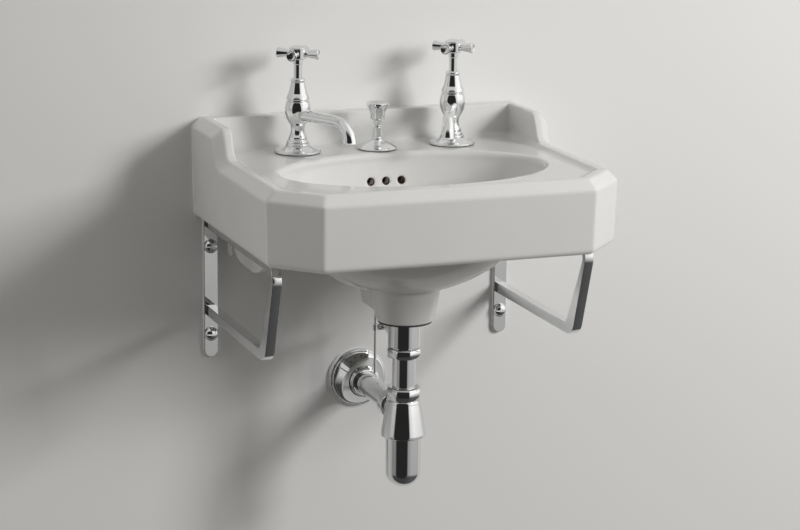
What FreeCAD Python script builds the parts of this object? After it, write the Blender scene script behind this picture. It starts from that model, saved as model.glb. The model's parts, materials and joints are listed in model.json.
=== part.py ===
import FreeCAD, Part
import math
import os

# A wall-hung ceramic basin on two chrome wall brackets, with two pillar taps, a pop-up waste and
# a bottle trap. Millimetres. X to the right, Y into the wall, Z up. The origin lies on the wall
# plane, in the middle of the width, level with the top of the flat apron face.

V = FreeCAD.Vector
UP = V(0, 0, 1)
INTO_WALL = V(0, 1, 0)

# ---- basin -------------------------------------------------------------------------------------
WIDTH = 480.0
DEPTH = 385.0
CORNER = 57.0              # front corners cut at 45 degrees, measured along each side
APRON_H = 78.0             # flat apron face
APRON_ROUND = 7.5          # rounding under the apron
DRAFT = 2.2                # how much the apron draws in towards its foot
CORNER_ROUND = 5.0
RIM_RISE = 13.0            # sloping band above the apron face
RIM_RUN = 13.0
CREST = 11.0               # level crest inside the band
LIP_DROP = 5.0             # from the crest down to the deck
LIP_RUN = 11.0
LIP_ROUND = 4.0
DECK_T = 14.0
BACK_TOP = 52.0            # top of the raised back and of the cheeks
BACK_T = 21.0              # thickness of the raised back at its top
BACK_LEAN = 15.0           # how far its face comes forward down to the deck
CHEEK_END = 95.0           # where the cheek's top starts to fall, from the wall
CHEEK_R_TOP = 17.0
CHEEK_R_FOOT = 18.0
CHEEK_SLOPE = 65.0
CHEEK_BLOCK = 200.0        # the cheek's block ends inside the straight rim
SIDE_WALL = 35.0
FRONT_WALL = 16.0
REAR_WALL = 14.0
TRIM = 2.0                 # stock behind the wall plane, cut off at the end

BOWL_HALF_X = 181.0
BOWL_HALF_Y = 113.0
BOWL_Y = 214.0             # bowl centre, from the wall
BOWL_DEPTH = 154.0
BOWL_LIP = 5.0
BOWL_WALL = 11.0
BOWL_SHARES = (0.0, 0.2, 0.4, 0.58, 0.74, 0.87, 0.96, 1.0)   # depths of the bowl's sections
BOWL_FALL_X = 1.8          # exponents of the bowl's section, across and front to back
BOWL_FALL_Y = 1.2
BOWL_FULL = 1.69
OUTLET_Y = 187.0           # outlet and trap axis, from the wall
OUTLET_SEAT_R = 35.0
OUTLET_HOLE_R = 22.5
COLLAR_TOP_R = 46.0
COLLAR_R = 38.5
COLLAR_FOOT = 203.5        # depth of the collar's foot below the origin
OVERFLOW_R = 5.2
OVERFLOW_PITCH = 22.0
OVERFLOW_DROP = 38.0       # below the deck
DUCT_HALF = 44.0
DUCT_WALL = 7.0
DUCT_FOOT = 188.0
THROAT_W = 26.0            # way from the duct into the outlet
THROAT_H = 12.0

REAR_IN = 51.0             # the rear body's side, from the basin's side
REAR_FOOT = 143.0
REAR_REACH = 200.0
REAR_CUT_R = 90.0
REAR_SKIN = 11.0
WALL_BOLT_PITCH = 280.0
WALL_BOLT_R = 7.0
WALL_BOLT_DROP = 46.0

# ---- brackets ----------------------------------------------------------------------------------
BRACKET_IN = 24.5          # the bar's middle, from the basin's side
BAR_W = 13.0
BAR_T = 14.0
BAR_EDGE = 1.2
PAD_T = 1.5
PAD_L = 40.0
PAD_Y = (60.0, 262.0)
LEG_TOP_Y = 304.0          # where the upper arm's and the leg's middle lines meet
LEG_FOOT_Y = 255.5
LOWER_ARM_DROP = 217.5
BEND_R = 18.0
PLATE_W = 19.0
PLATE_T = 6.0
PLATE_GAP = 2.5            # between the plate's top and the ceramic
SCREW_UNDER_ARM = 33.75    # each screw below the arm above it
PLATE_TAIL = 32.75         # the plate's foot below its last screw
SCREW_R = 2.8
SCREW_HOLE_R = 3.3
SCREW_NECK_R = 2.5         # plain neck from the head to just inside the wall
SCREW_NECK = 0.4
SCREW_HEAD_R = 9.8
SCREW_HEAD_H = 7.5
SCREW_SLOT = 1.8
SCREW_SLOT_DEEP = 2.4
SCREW_IN_WALL = 45.0

# ---- taps --------------------------------------------------------------------------------------
TAP_X = 111.5
TAP_Y = 67.5
TAP_HOLE_R = 15.0
SEAL_T = 1.0
TAIL_R = 10.48             # half-inch pipe thread
TAIL_L = 70.0
TAIL_GROOVE_R = 9.6        # groove between the back nut's thread and the supply's
TAIL_GROOVE = 31.0         # its foot, below the seat
TAIL_GROOVE_W = 3.5
TAP_FLANGE_R = 31.5
TAP_FLANGE_T = 2.4
TAP_STEPS = ((16.4, 9.4), (14.8, 13.0), (12.6, 18.2))   # radius and top of each step
TAP_NECK_R = 9.2
TAP_NECK_H = 29.0
TAP_BELLY_R = 17.5
TAP_BELLY_H = 54.5
TAP_TOP = 71.0             # top face of the body, from its seat
TAP_TOP_R = 14.2
WATERWAY_R = 6.0
CHAMBER_R = 10.5
CHAMBER_FOOT = 41.0
THREAD_R = 11.5
THREAD_L = 11.0
THREAD_GAP = 0.1
PRESS_GAP = 0.02           # between pieces fixed to each other, on the radius
RUN_GAP = 0.05             # running fit on the radius
SPOUT_TURN = 25.0          # turned from straight ahead towards the bowl
SPOUT_H = 50.8
SPOUT_ROOT_R = 8.6
SPOUT_R = 7.2
SPOUT_MOUTH_R = 9.4
SPOUT_BORE_R = 4.8
SPOUT_RUN = 73.0           # from the tap's axis to the start of the bend
SPOUT_BEND_R = 27.0
BONNET_R = 16.0
BONNET_TOP_R = 9.3
BONNET_H = 23.5
BONNET_SKIN = 1.6
GLAND_R = 10.0
GLAND_H = 5.5
SPINDLE_R = 4.0
DISC_R = 6.9
DISC_T = 3.0
STEM_R = 5.4
STEM_COLLAR_R = 6.4
ARM_H = 132.8
HUB_R = 11.4
HUB_H = 14.0
ARM_REACH = 29.0
ARM_ROOT_R = 4.9
ARM_ROOT = 14.0            # where the arm starts to flare, from the handle's axis
ARM_END_R = 7.3
CAP_R = 8.0
CAP_DEEP = 3.0
CAP_DOME_R = 12.2
CAP_EDGE = 0.8
CAP_DOME = 3.4
HANDLE_TURNS = {"hot": 8.5, "cold": 0.0}   # each handle's own small turn, closed
NUT_CORNER_R = 18.4
NUT_T = 9.0
UNDER_WASHER_T = 3.0
UNDER_WASHER_R = 21.0

# ---- pop-up waste ------------------------------------------------------------------------------
KNOB_Y = 74.0
ROD_R = 2.0
ROD_TAIL = 77.0            # lift rod below the ball's level
GUIDE_FLANGE_R = 26.9
GUIDE_COLUMN_R = 6.6
GUIDE_TOP = 31.0           # top of the guide's column, from the deck
GUIDE_STEM_R = 7.9
GUIDE_STEM_FOOT = 34.0
GUIDE_HOLE_R = 8.5
GUIDE_NUT_CORNER_R = 13.6
GUIDE_NUT_T = 5.0
KNOB_NECK_R = 5.4
KNOB_NECK_H = 8.5
KNOB_FOOT_R = 9.6
KNOB_RIM_R = 15.5
KNOB_CUP_H = 23.0
KNOB_GRIP = 12.0           # length of the rod inside the knob
LIFT = 22.0                # travel of the knob
WASTE_R = 22.4
WASTE_L = 36.0             # waste body's foot below the collar's
BARREL_R = 20.95           # one and a quarter inch pipe thread
BARREL_BORE_R = 18.4
BARREL_OUT = 16.0          # barrel below the collar's foot
WINDOW_H = 9.0
FLANGE_R = 32.0
FLANGE_T = 3.0
SEAT_T = 1.0               # level seat for the plug inside the flange
RUBBER_T = 2.0
PLUG_R = 21.4
PLUG_T = 2.4
PLUG_DOME = 3.0
PLUG_BOSS_R = 15.0
PLUG_GAP = 0.3             # under the seal when the plug is down
FIN_R = 17.9
FIN_T = 1.6
FIN_H = 20.0
PLUG_STEM_R = 3.0
EYE_R = 3.0
EYE_HALF = 5.0
EYE_T = 3.0
PORT_LEVEL = 28.0          # the ball's level below the collar's foot
PORT_R = 8.4
PORT_END = 44.0            # distances along the ball rod are from the outlet axis
PORT_MOUTH_R = 5.9
SEAT_POCKET_R = 6.8
BALL_OUT = 38.0
BALL_R = 5.0
BALL_ROD_R = 2.2
BALL_ROD_TAIL = 4.0        # past the plug's eye, and again past the link
BALL_NUT_R = 10.0
BALL_NUT_FROM = 40.0
BALL_NUT_END = 66.0
ROD_SIDE = 10.0            # the ball rod passes beside the lift rod
CLAMP_R = 3.9
CLAMP_H = 8.0
LINK_R = 5.0
LINK_GAP = 0.5
LINK_PIN_R = 1.6

# ---- trap --------------------------------------------------------------------------------------
TUBE_R = 16.0
TUBE_T = 1.4
THREAD_TAIL_R = 19.6
THREAD_TAIL_H = 10.0
INLET_NUT_GAP = 1.5        # below the waste body's foot
INLET_NUT_H = 14.0
INLET_NUT_R = 23.7
SEAL_H = 2.0
COLLAR_T = 1.6
SLIP_NUT_BELOW = 56.5      # below the waste body's foot
SLIP_NUT_H = 17.5
SLIP_NUT_R = 23.5
LIP_T = 1.8
NECK_R = 20.6
NECK_H = 10.0
TRAP_TOP_R = 22.6
TRAP_FOOT_R = 30.6
TRAP_H = 51.0              # bell below the slip nut
CUP_R = 24.2
CUP_WALL = 2.2
CUP_IN_BODY = 12.0
CUP_STRAIGHT = 50.5        # cup below the bell, down to its domed floor
CUP_DOME = 21.5
PASSAGE_R = 21.8
TUBE_BELOW = 29.0          # inlet tube below the bell's foot
PIPE_ABOVE = 32.0          # outlet above the bell's foot
PIPE_IN_WALL = 40.0
PIPE_GROOVE_R = 15.4       # stop groove behind the wall flange
PIPE_GROOVE = 1.5
OUTLET_BOSS = 41.0         # outlet boss and nut, from the trap's axis
OUTLET_THREAD_R = 17.6
OUTLET_NUT_R = 20.5
OUTLET_NUT_L = 18.0
ROSE_R = 41.5
ROSE_COLLAR_R = 20.5
ROSE_L = 39.0

POLE_R = 0.8               # level spot where a turned dome meets its axis

DECK = RIM_RISE - LIP_DROP
DECK_FOOT = DECK - DECK_T
APRON_FOOT = -(APRON_H + APRON_ROUND)
BOWL_FLOOR = DECK - BOWL_DEPTH
RIM_IN = RIM_RUN + CREST
REAR_HALF = WIDTH / 2 - REAR_IN
BRACKET_X = WIDTH / 2 - BRACKET_IN
UPPER_ARM_DROP = PAD_T + BAR_T / 2 - APRON_FOOT
SCREW_DROPS = (UPPER_ARM_DROP + SCREW_UNDER_ARM, LOWER_ARM_DROP + SCREW_UNDER_ARM)
PLATE_FOOT = SCREW_DROPS[1] + PLATE_TAIL
BARREL_L = BOWL_FLOOR + COLLAR_FOOT + BARREL_OUT
WASTE_FOOT = COLLAR_FOOT + WASTE_L
PORT_DROP = COLLAR_FOOT + PORT_LEVEL
ROD_FOOT = PORT_DROP + ROD_TAIL
INLET_NUT_TOP = WASTE_FOOT + INLET_NUT_GAP
SLIP_NUT_TOP = WASTE_FOOT + SLIP_NUT_BELOW
TRAP_FOOT = SLIP_NUT_TOP + SLIP_NUT_H + TRAP_H
CUP_WAIST = TRAP_FOOT + CUP_STRAIGHT
CUP_FOOT = CUP_WAIST + CUP_DOME
TUBE_FOOT = TRAP_FOOT + TUBE_BELOW
PIPE_DROP = TRAP_FOOT - PIPE_ABOVE


def mirrored(shape):
    """The same shape on the other side of the middle plane."""
    return shape.mirror(V(0, 0, 0), V(1, 0, 0))


def ring(r_out, r_in, z_low, z_high, x=0.0, y=0.0):
    """A plain ring or, with no inner radius, a plain cylinder, upright."""
    outer = Part.makeCylinder(r_out, z_high - z_low, V(x, y, z_low))
    if r_in <= 0:
        return outer
    return outer.cut(Part.makeCylinder(r_in, z_high - z_low, V(x, y, z_low)))


def lathe(start, *steps):
    """Turn a closed (radius, height) outline about Z. A step is (r, z), or a pair of points for
    an arc: through the first, to the second. Where an arc meets the axis, its pole is level."""
    points = [start]
    edges = []

    def go(there, through=None):
        here = V(points[-1][0], 0, points[-1][1])
        target = V(there[0], 0, there[1])
        if through is None:
            edges.append(Part.LineSegment(here, target).toShape())
        else:
            edges.append(Part.Arc(here, V(through[0], 0, through[1]), target).toShape())
        points.append(there)

    for step in steps:
        if not isinstance(step[0], tuple):
            go(step)
            continue
        through, there = step
        if points[-1][0] == 0:
            go((POLE_R, points[-1][1]))
        if there[0] == 0:
            go((POLE_R, there[1]), through)
            go(there)
        else:
            go(there, through)
    go(start)
    return Part.Face(Part.Wire(edges)).revolve(V(0, 0, 0), UP, 360)


def faceted(corner_r, sides, z_low, z_high, chamfer=1.0):
    """A bar with flat sides, its corners turned down and its ends chamfered."""
    reach = corner_r * 1.035
    turn = 2 * math.pi / sides
    corners = [V(reach * math.cos(k * turn), reach * math.sin(k * turn), z_low)
               for k in range(sides + 1)]
    bar = Part.Face(Part.makePolygon(corners)).extrude(V(0, 0, z_high - z_low))
    flat_r = corner_r * math.cos(turn / 2)
    blank = lathe((0, z_low), (flat_r, z_low), (corner_r, z_low + chamfer),
                  (corner_r, z_high - chamfer), (flat_r, z_high), (0, z_high))
    return bar.common(blank)


def towards_wall(shape, x, z):
    """Lay an upright shape down so that its +Z points into the wall, at a place (x, z)."""
    laid = shape.copy()
    laid.rotate(V(0, 0, 0), V(1, 0, 0), -90)
    laid.translate(V(x, 0, z))
    return laid


def rounded_outline(corners, x):
    """A closed wire in the plane X = x through (y, z, radius) corners."""
    edges = []
    arcs = []
    count = len(corners)
    for k in range(count):
        y, z, r = corners[k]
        here = V(x, y, z)
        before = V(x, corners[k - 1][0], corners[k - 1][1])
        after = V(x, corners[(k + 1) % count][0], corners[(k + 1) % count][1])
        if r <= 0:
            arcs.append((here, None, here))
            continue
        inward = (before - here).normalize()
        outward = (after - here).normalize()
        half = inward.getAngle(outward) / 2
        reach = r / math.tan(half)
        middle = (inward + outward).normalize()
        through = here + middle * (r / math.sin(half) - r)
        arcs.append((here + inward * reach, through, here + outward * reach))
    for k in range(count):
        first, through, last = arcs[k]
        if through is not None:
            edges.append(Part.Arc(first, through, last).toShape())
        following = arcs[(k + 1) % count][0]
        if (following - last).Length > 1e-6:
            edges.append(Part.LineSegment(last, following).toShape())
    return Part.Wire(edges)


# ---- basin -------------------------------------------------------------------------------------
def plan(inset, z, back=-TRIM, front=None):
    """The basin's outline drawn in by an inset, with its own distance from the wall and front."""
    front = inset if front is None else front
    x = WIDTH / 2 - inset
    y = -DEPTH + front
    cut_line = WIDTH / 2 + DEPTH - CORNER - math.sqrt(2) * (inset + front) / 2
    side_y = -(cut_line - x)
    front_x = cut_line + y
    half = [V(x, -back, z), V(x, side_y, z), V(front_x, y, z)]
    other = [V(-p.x, p.y, p.z) for p in reversed(half)]
    return Part.makePolygon(half + other + half[:1])


def cheek_profile(inset, x):
    """The side outline of the raised back and cheek, drawn in by an inset."""
    angle = math.radians(CHEEK_SLOPE)
    sin, cos = math.sin(angle), math.cos(angle)
    fall = BACK_TOP - RIM_RISE
    slant = (fall - (CHEEK_R_TOP + CHEEK_R_FOOT) * (1 - cos)) / sin
    r_top = CHEEK_R_TOP - inset
    r_foot = CHEEK_R_FOOT + inset
    top = BACK_TOP - inset
    rim = RIM_RISE - inset
    centre_1 = (-CHEEK_END, BACK_TOP - CHEEK_R_TOP)
    foot_y = -CHEEK_END - (CHEEK_R_TOP + CHEEK_R_FOOT) * sin - slant * cos
    centre_2 = (foot_y, RIM_RISE + CHEEK_R_FOOT)

    def on(centre, r, turn, sign):
        return V(x, centre[0] - sign * r * math.sin(turn), centre[1] + sign * r * math.cos(turn))

    points = [V(x, TRIM, APRON_FOOT / 2), V(x, TRIM, top), V(x, -CHEEK_END, top)]
    bend_1 = (on(centre_1, r_top, angle / 2, 1), on(centre_1, r_top, angle, 1))
    start_2 = on(centre_2, r_foot, angle, -1)
    bend_2 = (on(centre_2, r_foot, angle / 2, -1), V(x, foot_y, rim))
    lines = Part.makePolygon(points).Edges
    lines.append(Part.Arc(points[-1], *bend_1).toShape())
    lines.append(Part.LineSegment(bend_1[1], start_2).toShape())
    lines.append(Part.Arc(start_2, *bend_2).toShape())
    tail = [bend_2[1], V(x, -CHEEK_BLOCK, rim), V(x, -CHEEK_BLOCK, APRON_FOOT / 2), points[0]]
    lines += Part.makePolygon(tail).Edges
    return Part.Wire(lines)


def basin_outside():
    """Apron, sloping band and raised cheeks, still solid."""
    low = Part.makeLoft([plan(DRAFT, APRON_FOOT), plan(0, 0)], True, True)
    band = Part.makeLoft([plan(0, 0), plan(RIM_RUN, RIM_RISE)], True, True)
    half = WIDTH / 2
    middle = Part.Face(cheek_profile(0, -half + RIM_RUN)).extrude(V(WIDTH - 2 * RIM_RUN, 0, 0))
    side = Part.makeLoft([cheek_profile(RIM_RISE, -half), cheek_profile(0, RIM_RUN - half)],
                         True, True)
    envelope = low.fuse(Part.Face(plan(0, 0)).extrude(V(0, 0, BACK_TOP + 1)))
    cheeks = middle.fuse([side, mirrored(side)]).common(envelope)
    body = low.fuse([band, cheeks]).removeSplitter()
    corners = [e for e in body.Edges if is_front_corner(e)]
    body = body.makeFillet(CORNER_ROUND, corners)
    feet = [e for e in body.Edges if abs(middle_of(e).z - APRON_FOOT) < 0.01 and middle_of(e).y < -0.01]
    return body.makeFillet(APRON_ROUND, feet)


def middle_of(edge):
    return edge.valueAt((edge.FirstParameter + edge.LastParameter) / 2)


def is_front_corner(edge):
    """True for the upright edges of the cut corners and their mitres in the band."""
    place = middle_of(edge)
    if place.y > -DEPTH / 2 or abs(edge.tangentAt(edge.FirstParameter).z) < 0.3:
        return False
    side = math.hypot(abs(place.x) - WIDTH / 2, place.y + DEPTH - CORNER)
    front = math.hypot(abs(place.x) - WIDTH / 2 + CORNER, place.y + DEPTH)
    return min(side, front) < RIM_RUN + CORNER_ROUND


def bowl_half(half, fall, share):
    """Half an axis of the bowl's ellipse at a share of its depth."""
    return OUTLET_SEAT_R + (half - OUTLET_SEAT_R) * (1 - share ** fall) ** (1 / BOWL_FULL)


def bowl_section(share, wall):
    """One ellipse of the bowl: the inside with wall 0, the outside with the wall's thickness."""
    half_x = bowl_half(BOWL_HALF_X, BOWL_FALL_X, share) + wall
    half_y = bowl_half(BOWL_HALF_Y, BOWL_FALL_Y, share) + wall
    y = -BOWL_Y + (BOWL_Y - OUTLET_Y) * share ** 4
    top = DECK if wall == 0 else DECK - wall / 2
    z = top + (BOWL_FLOOR - wall - top) * share
    ellipse = Part.Ellipse(V(0, y, z), half_x, half_y)
    return Part.Wire([ellipse.toShape()])


def bowl(wall):
    return Part.makeLoft([bowl_section(share, wall) for share in BOWL_SHARES], True, False)


def duct(skin):
    """The overflow duct behind the bowl: its outside with skin 0, its bore with the skin's wall."""
    half = DUCT_HALF - skin
    bowl_back = BOWL_Y - BOWL_HALF_Y
    levels = ((DECK_FOOT - skin * 1.2, bowl_back - 12, bowl_back + 10),
              (-60.0, bowl_back - 17, bowl_back + 12),
              (-115.0, bowl_back - 2, bowl_back + 28),
              (-DUCT_FOOT + 3 * skin, bowl_back + 32, OUTLET_Y))
    sections = []
    for z, back, front in levels:
        near = front if skin == 0 else min(front, back + 2 * skin)
        y_back, y_near = -(back + skin), -(near + skin * 0.3)
        corners = [V(-half, y_back, z), V(half, y_back, z), V(half, y_near, z), V(-half, y_near, z)]
        sections.append(Part.makePolygon(corners + corners[:1]))
    return Part.makeLoft(sections, True, True)


def rear_body():
    """Back panel and two side skirts below the deck, open at the foot for the pipes."""
    foot = -REAR_FOOT
    panel = Part.makeBox(2 * REAR_HALF, REAR_WALL + TRIM, DECK_FOOT - foot,
                         V(-REAR_HALF, -REAR_WALL, foot))
    corners = [(TRIM, DECK_FOOT, 0), (TRIM, foot, 0), (-REAR_REACH + REAR_CUT_R * 0.3, foot, REAR_CUT_R),
               (-REAR_REACH, DECK_FOOT, 0)]
    skirt = Part.Face(rounded_outline(corners, REAR_HALF - REAR_SKIN)).extrude(V(REAR_SKIN, 0, 0))
    return [panel, skirt, mirrored(skirt)]


def basin_pocket():
    """What lies above the deck inside the crest and in front of the raised back."""
    deck_inset = RIM_IN + LIP_RUN
    lip = Part.makeLoft([plan(deck_inset, DECK, BACK_T + BACK_LEAN),
                         plan(RIM_IN, RIM_RISE, BACK_T + BACK_LEAN * 0.6)], True, True)
    above = Part.makeLoft([plan(RIM_IN, RIM_RISE, BACK_T + BACK_LEAN * 0.6),
                           plan(RIM_IN, BACK_TOP + 1, BACK_T)], True, True)
    return lip.fuse(above)


def basin_holes():
    """Bowl outlet, overflow holes, tap holes, knob hole and wall bolt holes."""
    holes = [ring(OUTLET_HOLE_R, 0, -COLLAR_FOOT - 1, BOWL_FLOOR + 1, 0, -OUTLET_Y)]
    holes.append(ring(FLANGE_R + 1.0, 0, BOWL_FLOOR - RUBBER_T, BOWL_FLOOR + 12, 0, -OUTLET_Y))
    for side in (-1, 1):
        holes.append(ring(TAP_HOLE_R, 0, DECK_FOOT - 1, DECK + 1, side * TAP_X, -TAP_Y))
        bolt = ring(WALL_BOLT_R, 0, -REAR_WALL - 1, 1)
        holes.append(towards_wall(bolt, side * WALL_BOLT_PITCH / 2, -WALL_BOLT_DROP))
    holes.append(ring(GUIDE_HOLE_R, 0, DECK_FOOT - 1, DECK + 1, 0, -KNOB_Y))
    bowl_back = BOWL_Y - BOWL_HALF_Y
    for k in (-1, 0, 1):
        hole = ring(OVERFLOW_R, 0, -bowl_back - 16, -bowl_back + 4)
        holes.append(towards_wall(hole, k * OVERFLOW_PITCH, DECK - OVERFLOW_DROP))
    throat = Part.makeBox(THROAT_W, OUTLET_Y - bowl_back - DUCT_HALF, THROAT_H,
                          V(-THROAT_W / 2, -OUTLET_Y, -DUCT_FOOT + 2 * DUCT_WALL))
    holes.append(throat)
    return holes


def basin():
    cavity_top = DECK_FOOT
    cavity_low = plan(SIDE_WALL, APRON_FOOT - 1, REAR_WALL, FRONT_WALL)
    cavity = Part.Face(cavity_low).extrude(V(0, 0, cavity_top - APRON_FOOT + 1))
    shell = basin_outside().cut(cavity)
    collar = lathe((0, -COLLAR_FOOT), (COLLAR_R, -COLLAR_FOOT),
                   (COLLAR_TOP_R, BOWL_FLOOR - 2 * BOWL_WALL),
                   (COLLAR_TOP_R + 2, BOWL_FLOOR + 18), (0, BOWL_FLOOR + 18))
    collar.translate(V(0, -OUTLET_Y, 0))
    shell = shell.fuse([bowl(BOWL_WALL), collar, duct(0)] + rear_body())
    shell = shell.cut(basin_pocket())
    shell = shell.cut(bowl(0))
    lips = [e for e in shell.Edges if is_bowl_lip(e)]
    shell = shell.makeFillet(BOWL_LIP, lips)
    stock = Part.makeBox(2 * WIDTH, 2 * TRIM, 2 * WIDTH, V(-WIDTH, 0, -WIDTH))
    shell = shell.cut([duct(DUCT_WALL), stock])
    return shell.cut(basin_holes())


def is_bowl_lip(edge):
    place = middle_of(edge)
    level = abs(place.z - DECK) < 0.01 and edge.BoundBox.ZLength < 0.01
    return level and edge.Curve.TypeId != "Part::GeomLine" and edge.BoundBox.XLength > BOWL_HALF_X


# ---- brackets ----------------------------------------------------------------------------------
def bar_loop():
    """One bent bar: upper arm, sloping leg and lower arm, both ends on the wall plate."""
    top = -UPPER_ARM_DROP
    foot = -LOWER_ARM_DROP
    slope = math.atan2(LEG_TOP_Y - LEG_FOOT_Y, top - foot)
    half = BAR_T / 2

    def corner_shift(sign):
        """Where the outer (+1) or inner (-1) face lines meet, from the middle lines' corners."""
        upper = half * (1 + math.sin(slope)) / math.cos(slope)
        lower = half * (1 - math.sin(slope)) / math.cos(slope)
        return sign * upper, sign * lower

    outer_up, outer_low = corner_shift(1)
    outer = [(-PLATE_T, top + half, 0), (-LEG_TOP_Y - outer_low, top + half, BEND_R + half),
             (-LEG_FOOT_Y - outer_up, foot - half, BEND_R + half), (-PLATE_T, foot - half, 0)]
    inner = [(-PLATE_T, foot + half, 0), (-LEG_FOOT_Y + outer_up, foot + half, BEND_R - half),
             (-LEG_TOP_Y + outer_low, top - half, BEND_R - half), (-PLATE_T, top - half, 0)]
    wire = rounded_outline(outer + inner, BRACKET_X - BAR_W / 2)
    bar = Part.Face(wire).extrude(V(BAR_W, 0, 0))
    edges = [e for e in bar.Edges
             if abs(abs(middle_of(e).x - BRACKET_X) - BAR_W / 2) < 0.01 and middle_of(e).y < -PLATE_T - 0.1]
    return bar.makeFillet(BAR_EDGE, edges)


def wall_plate():
    r = PLATE_W / 2
    top = APRON_FOOT - PLATE_GAP
    strip = Part.makeBox(PLATE_W, PLATE_T, top + PLATE_FOOT - r,
                         V(BRACKET_X - r, -PLATE_T, -PLATE_FOOT + r))
    end = towards_wall(ring(r, 0, -PLATE_T, 0), BRACKET_X, -PLATE_FOOT + r)
    plate = strip.fuse(end).removeSplitter()
    front = [e for e in plate.Edges if abs(middle_of(e).y + PLATE_T) < 0.01]
    plate = plate.makeFillet(BAR_EDGE / 2, front)
    for drop in SCREW_DROPS:
        plate = plate.cut(towards_wall(ring(SCREW_HOLE_R, 0, -PLATE_T - 1, 1), BRACKET_X, -drop))
    return plate


def wall_screw(x, drop):
    """A slotted dome-head screw; its shank goes on into the wall."""
    shank = lathe((0, -PLATE_T), (SCREW_NECK_R, -PLATE_T), (SCREW_NECK_R, SCREW_NECK), (SCREW_R, SCREW_NECK),
                  (SCREW_R, SCREW_IN_WALL - 6), (0.6, SCREW_IN_WALL), (0, SCREW_IN_WALL))
    r, h = SCREW_HEAD_R, SCREW_HEAD_H
    face = -PLATE_T
    head = lathe((0, face), (r, face), (r, face - 1.6),
                 ((r * 0.74, face - h * 0.72), (r * 0.3, face - h + 0.35)), (0, face - h))
    slot = Part.makeBox(2 * r + 2, SCREW_SLOT, SCREW_SLOT_DEEP + 1,
                        V(-r - 1, -SCREW_SLOT / 2, face - h - 1))
    screw = head.cut(slot).fuse(shank).removeSplitter()
    return towards_wall(screw, x, -drop)


def pads():
    made = []
    for side in (-1, 1):
        for y in PAD_Y:
            made.append(Part.makeBox(BAR_W - 2 * BAR_EDGE, PAD_L, PAD_T,
                                     V(side * BRACKET_X - BAR_W / 2 + BAR_EDGE, -y - PAD_L / 2,
                                       APRON_FOOT - PAD_T)))
    return Part.makeCompound(made)


# ---- taps, made upright with their seat at the origin -------------------------------------------
def spout():
    """Tapered round spout with a quarter bend, and its bore."""
    mouth = V(0, -SPOUT_RUN - SPOUT_BEND_R, SPOUT_H - SPOUT_BEND_R)
    stations = [(V(0, -TAP_BELLY_R * 0.6, SPOUT_H), V(0, -1, 0), SPOUT_ROOT_R)]
    for share in (0.35, 0.7, 1.0):
        radius = SPOUT_ROOT_R + (SPOUT_R - SPOUT_ROOT_R) * min(1.0, share * 1.3)
        stations.append((V(0, -TAP_BELLY_R * 0.6 - share * (SPOUT_RUN - TAP_BELLY_R * 0.6),
                           SPOUT_H), V(0, -1, 0), radius))
    for turn in (30, 60, 90):
        angle = math.radians(turn)
        place = V(0, -SPOUT_RUN - SPOUT_BEND_R * math.sin(angle),
                  SPOUT_H - SPOUT_BEND_R * (1 - math.cos(angle)))
        radius = SPOUT_R + (SPOUT_MOUTH_R - SPOUT_R) * (turn / 90) ** 2
        stations.append((place, V(0, -math.cos(angle), -math.sin(angle)), radius))
    wires = [Part.Wire([Part.makeCircle(r, place, along)]) for place, along, r in stations]
    nozzle = Part.makeCylinder(SPOUT_MOUTH_R, 2.0, mouth - V(0, 0, 2.0))
    solid = Part.makeLoft(wires, True, False).fuse(nozzle)
    straight = Part.makeCylinder(SPOUT_BORE_R, SPOUT_RUN, V(0, 0, SPOUT_H), V(0, -1, 0))
    circle = Part.Wire([Part.makeCircle(SPOUT_BORE_R, V(0, -SPOUT_RUN, SPOUT_H), V(0, -1, 0))])
    bend = Part.Face(circle).revolve(V(0, -SPOUT_RUN, SPOUT_H - SPOUT_BEND_R), V(1, 0, 0), 90)
    throat = Part.makeCylinder(SPOUT_MOUTH_R - 2.2, 6.0, mouth - V(0, 0, 3.0))
    return solid, straight.fuse([bend, throat])


def tap_body():
    """Flange, stepped foot, neck, belly and tail turned as one piece, with the spout on it."""
    r, t, belly, top = TAP_FLANGE_R, TAP_FLANGE_T, TAP_BELLY_R, TAP_TOP
    (r1, h1), (r2, h2), (r3, h3) = TAP_STEPS
    groove = -TAIL_GROOVE
    outside = lathe((0, -TAIL_L), (TAIL_R, -TAIL_L), (TAIL_R, groove), (TAIL_GROOVE_R, groove),
                    (TAIL_GROOVE_R, groove + TAIL_GROOVE_W), (TAIL_R, groove + TAIL_GROOVE_W),
                    (TAIL_R, 0), (r, 0), (r, t - 0.6), ((r - 0.4, t - 0.1), (r - 1.2, t + 0.3)),
                    ((r * 0.7, t + 2.4), (r1, h1 - 1.2)), (r1, h1),
                    ((r1 - 0.4, h1 + 1.8), (r2, h1 + 2.6)), (r2, h2),
                    ((r2 - 0.2, h2 + 2.2), (r2 - 1.8, h2 + 3.0)), (r3, h2 + 4.0), (r3, h3),
                    ((r3 - 0.2, h3 + 1.8), (r3 - 1.6, h3 + 4.2)),
                    ((TAP_NECK_R, TAP_NECK_H), (TAP_NECK_R + 1.4, TAP_NECK_H + 8.0)),
                    ((belly * 0.86, TAP_BELLY_H - 9.5), (belly, TAP_BELLY_H)),
                    ((belly * 0.98, 62.5), (belly - 2.0, top - 2.2)), (TAP_TOP_R, top - 1.6),
                    (TAP_TOP_R, top), (0, top))
    nozzle, bore = spout()
    body = outside.fuse(nozzle)
    inside = lathe((0, -TAIL_L - 1), (WATERWAY_R, -TAIL_L - 1), (WATERWAY_R, CHAMBER_FOOT),
                   (CHAMBER_R, CHAMBER_FOOT), (CHAMBER_R, top - THREAD_L),
                   (THREAD_R, top - THREAD_L), (THREAD_R, top + 1), (0, top + 1))
    return body.cut(inside).cut(bore)


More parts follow.
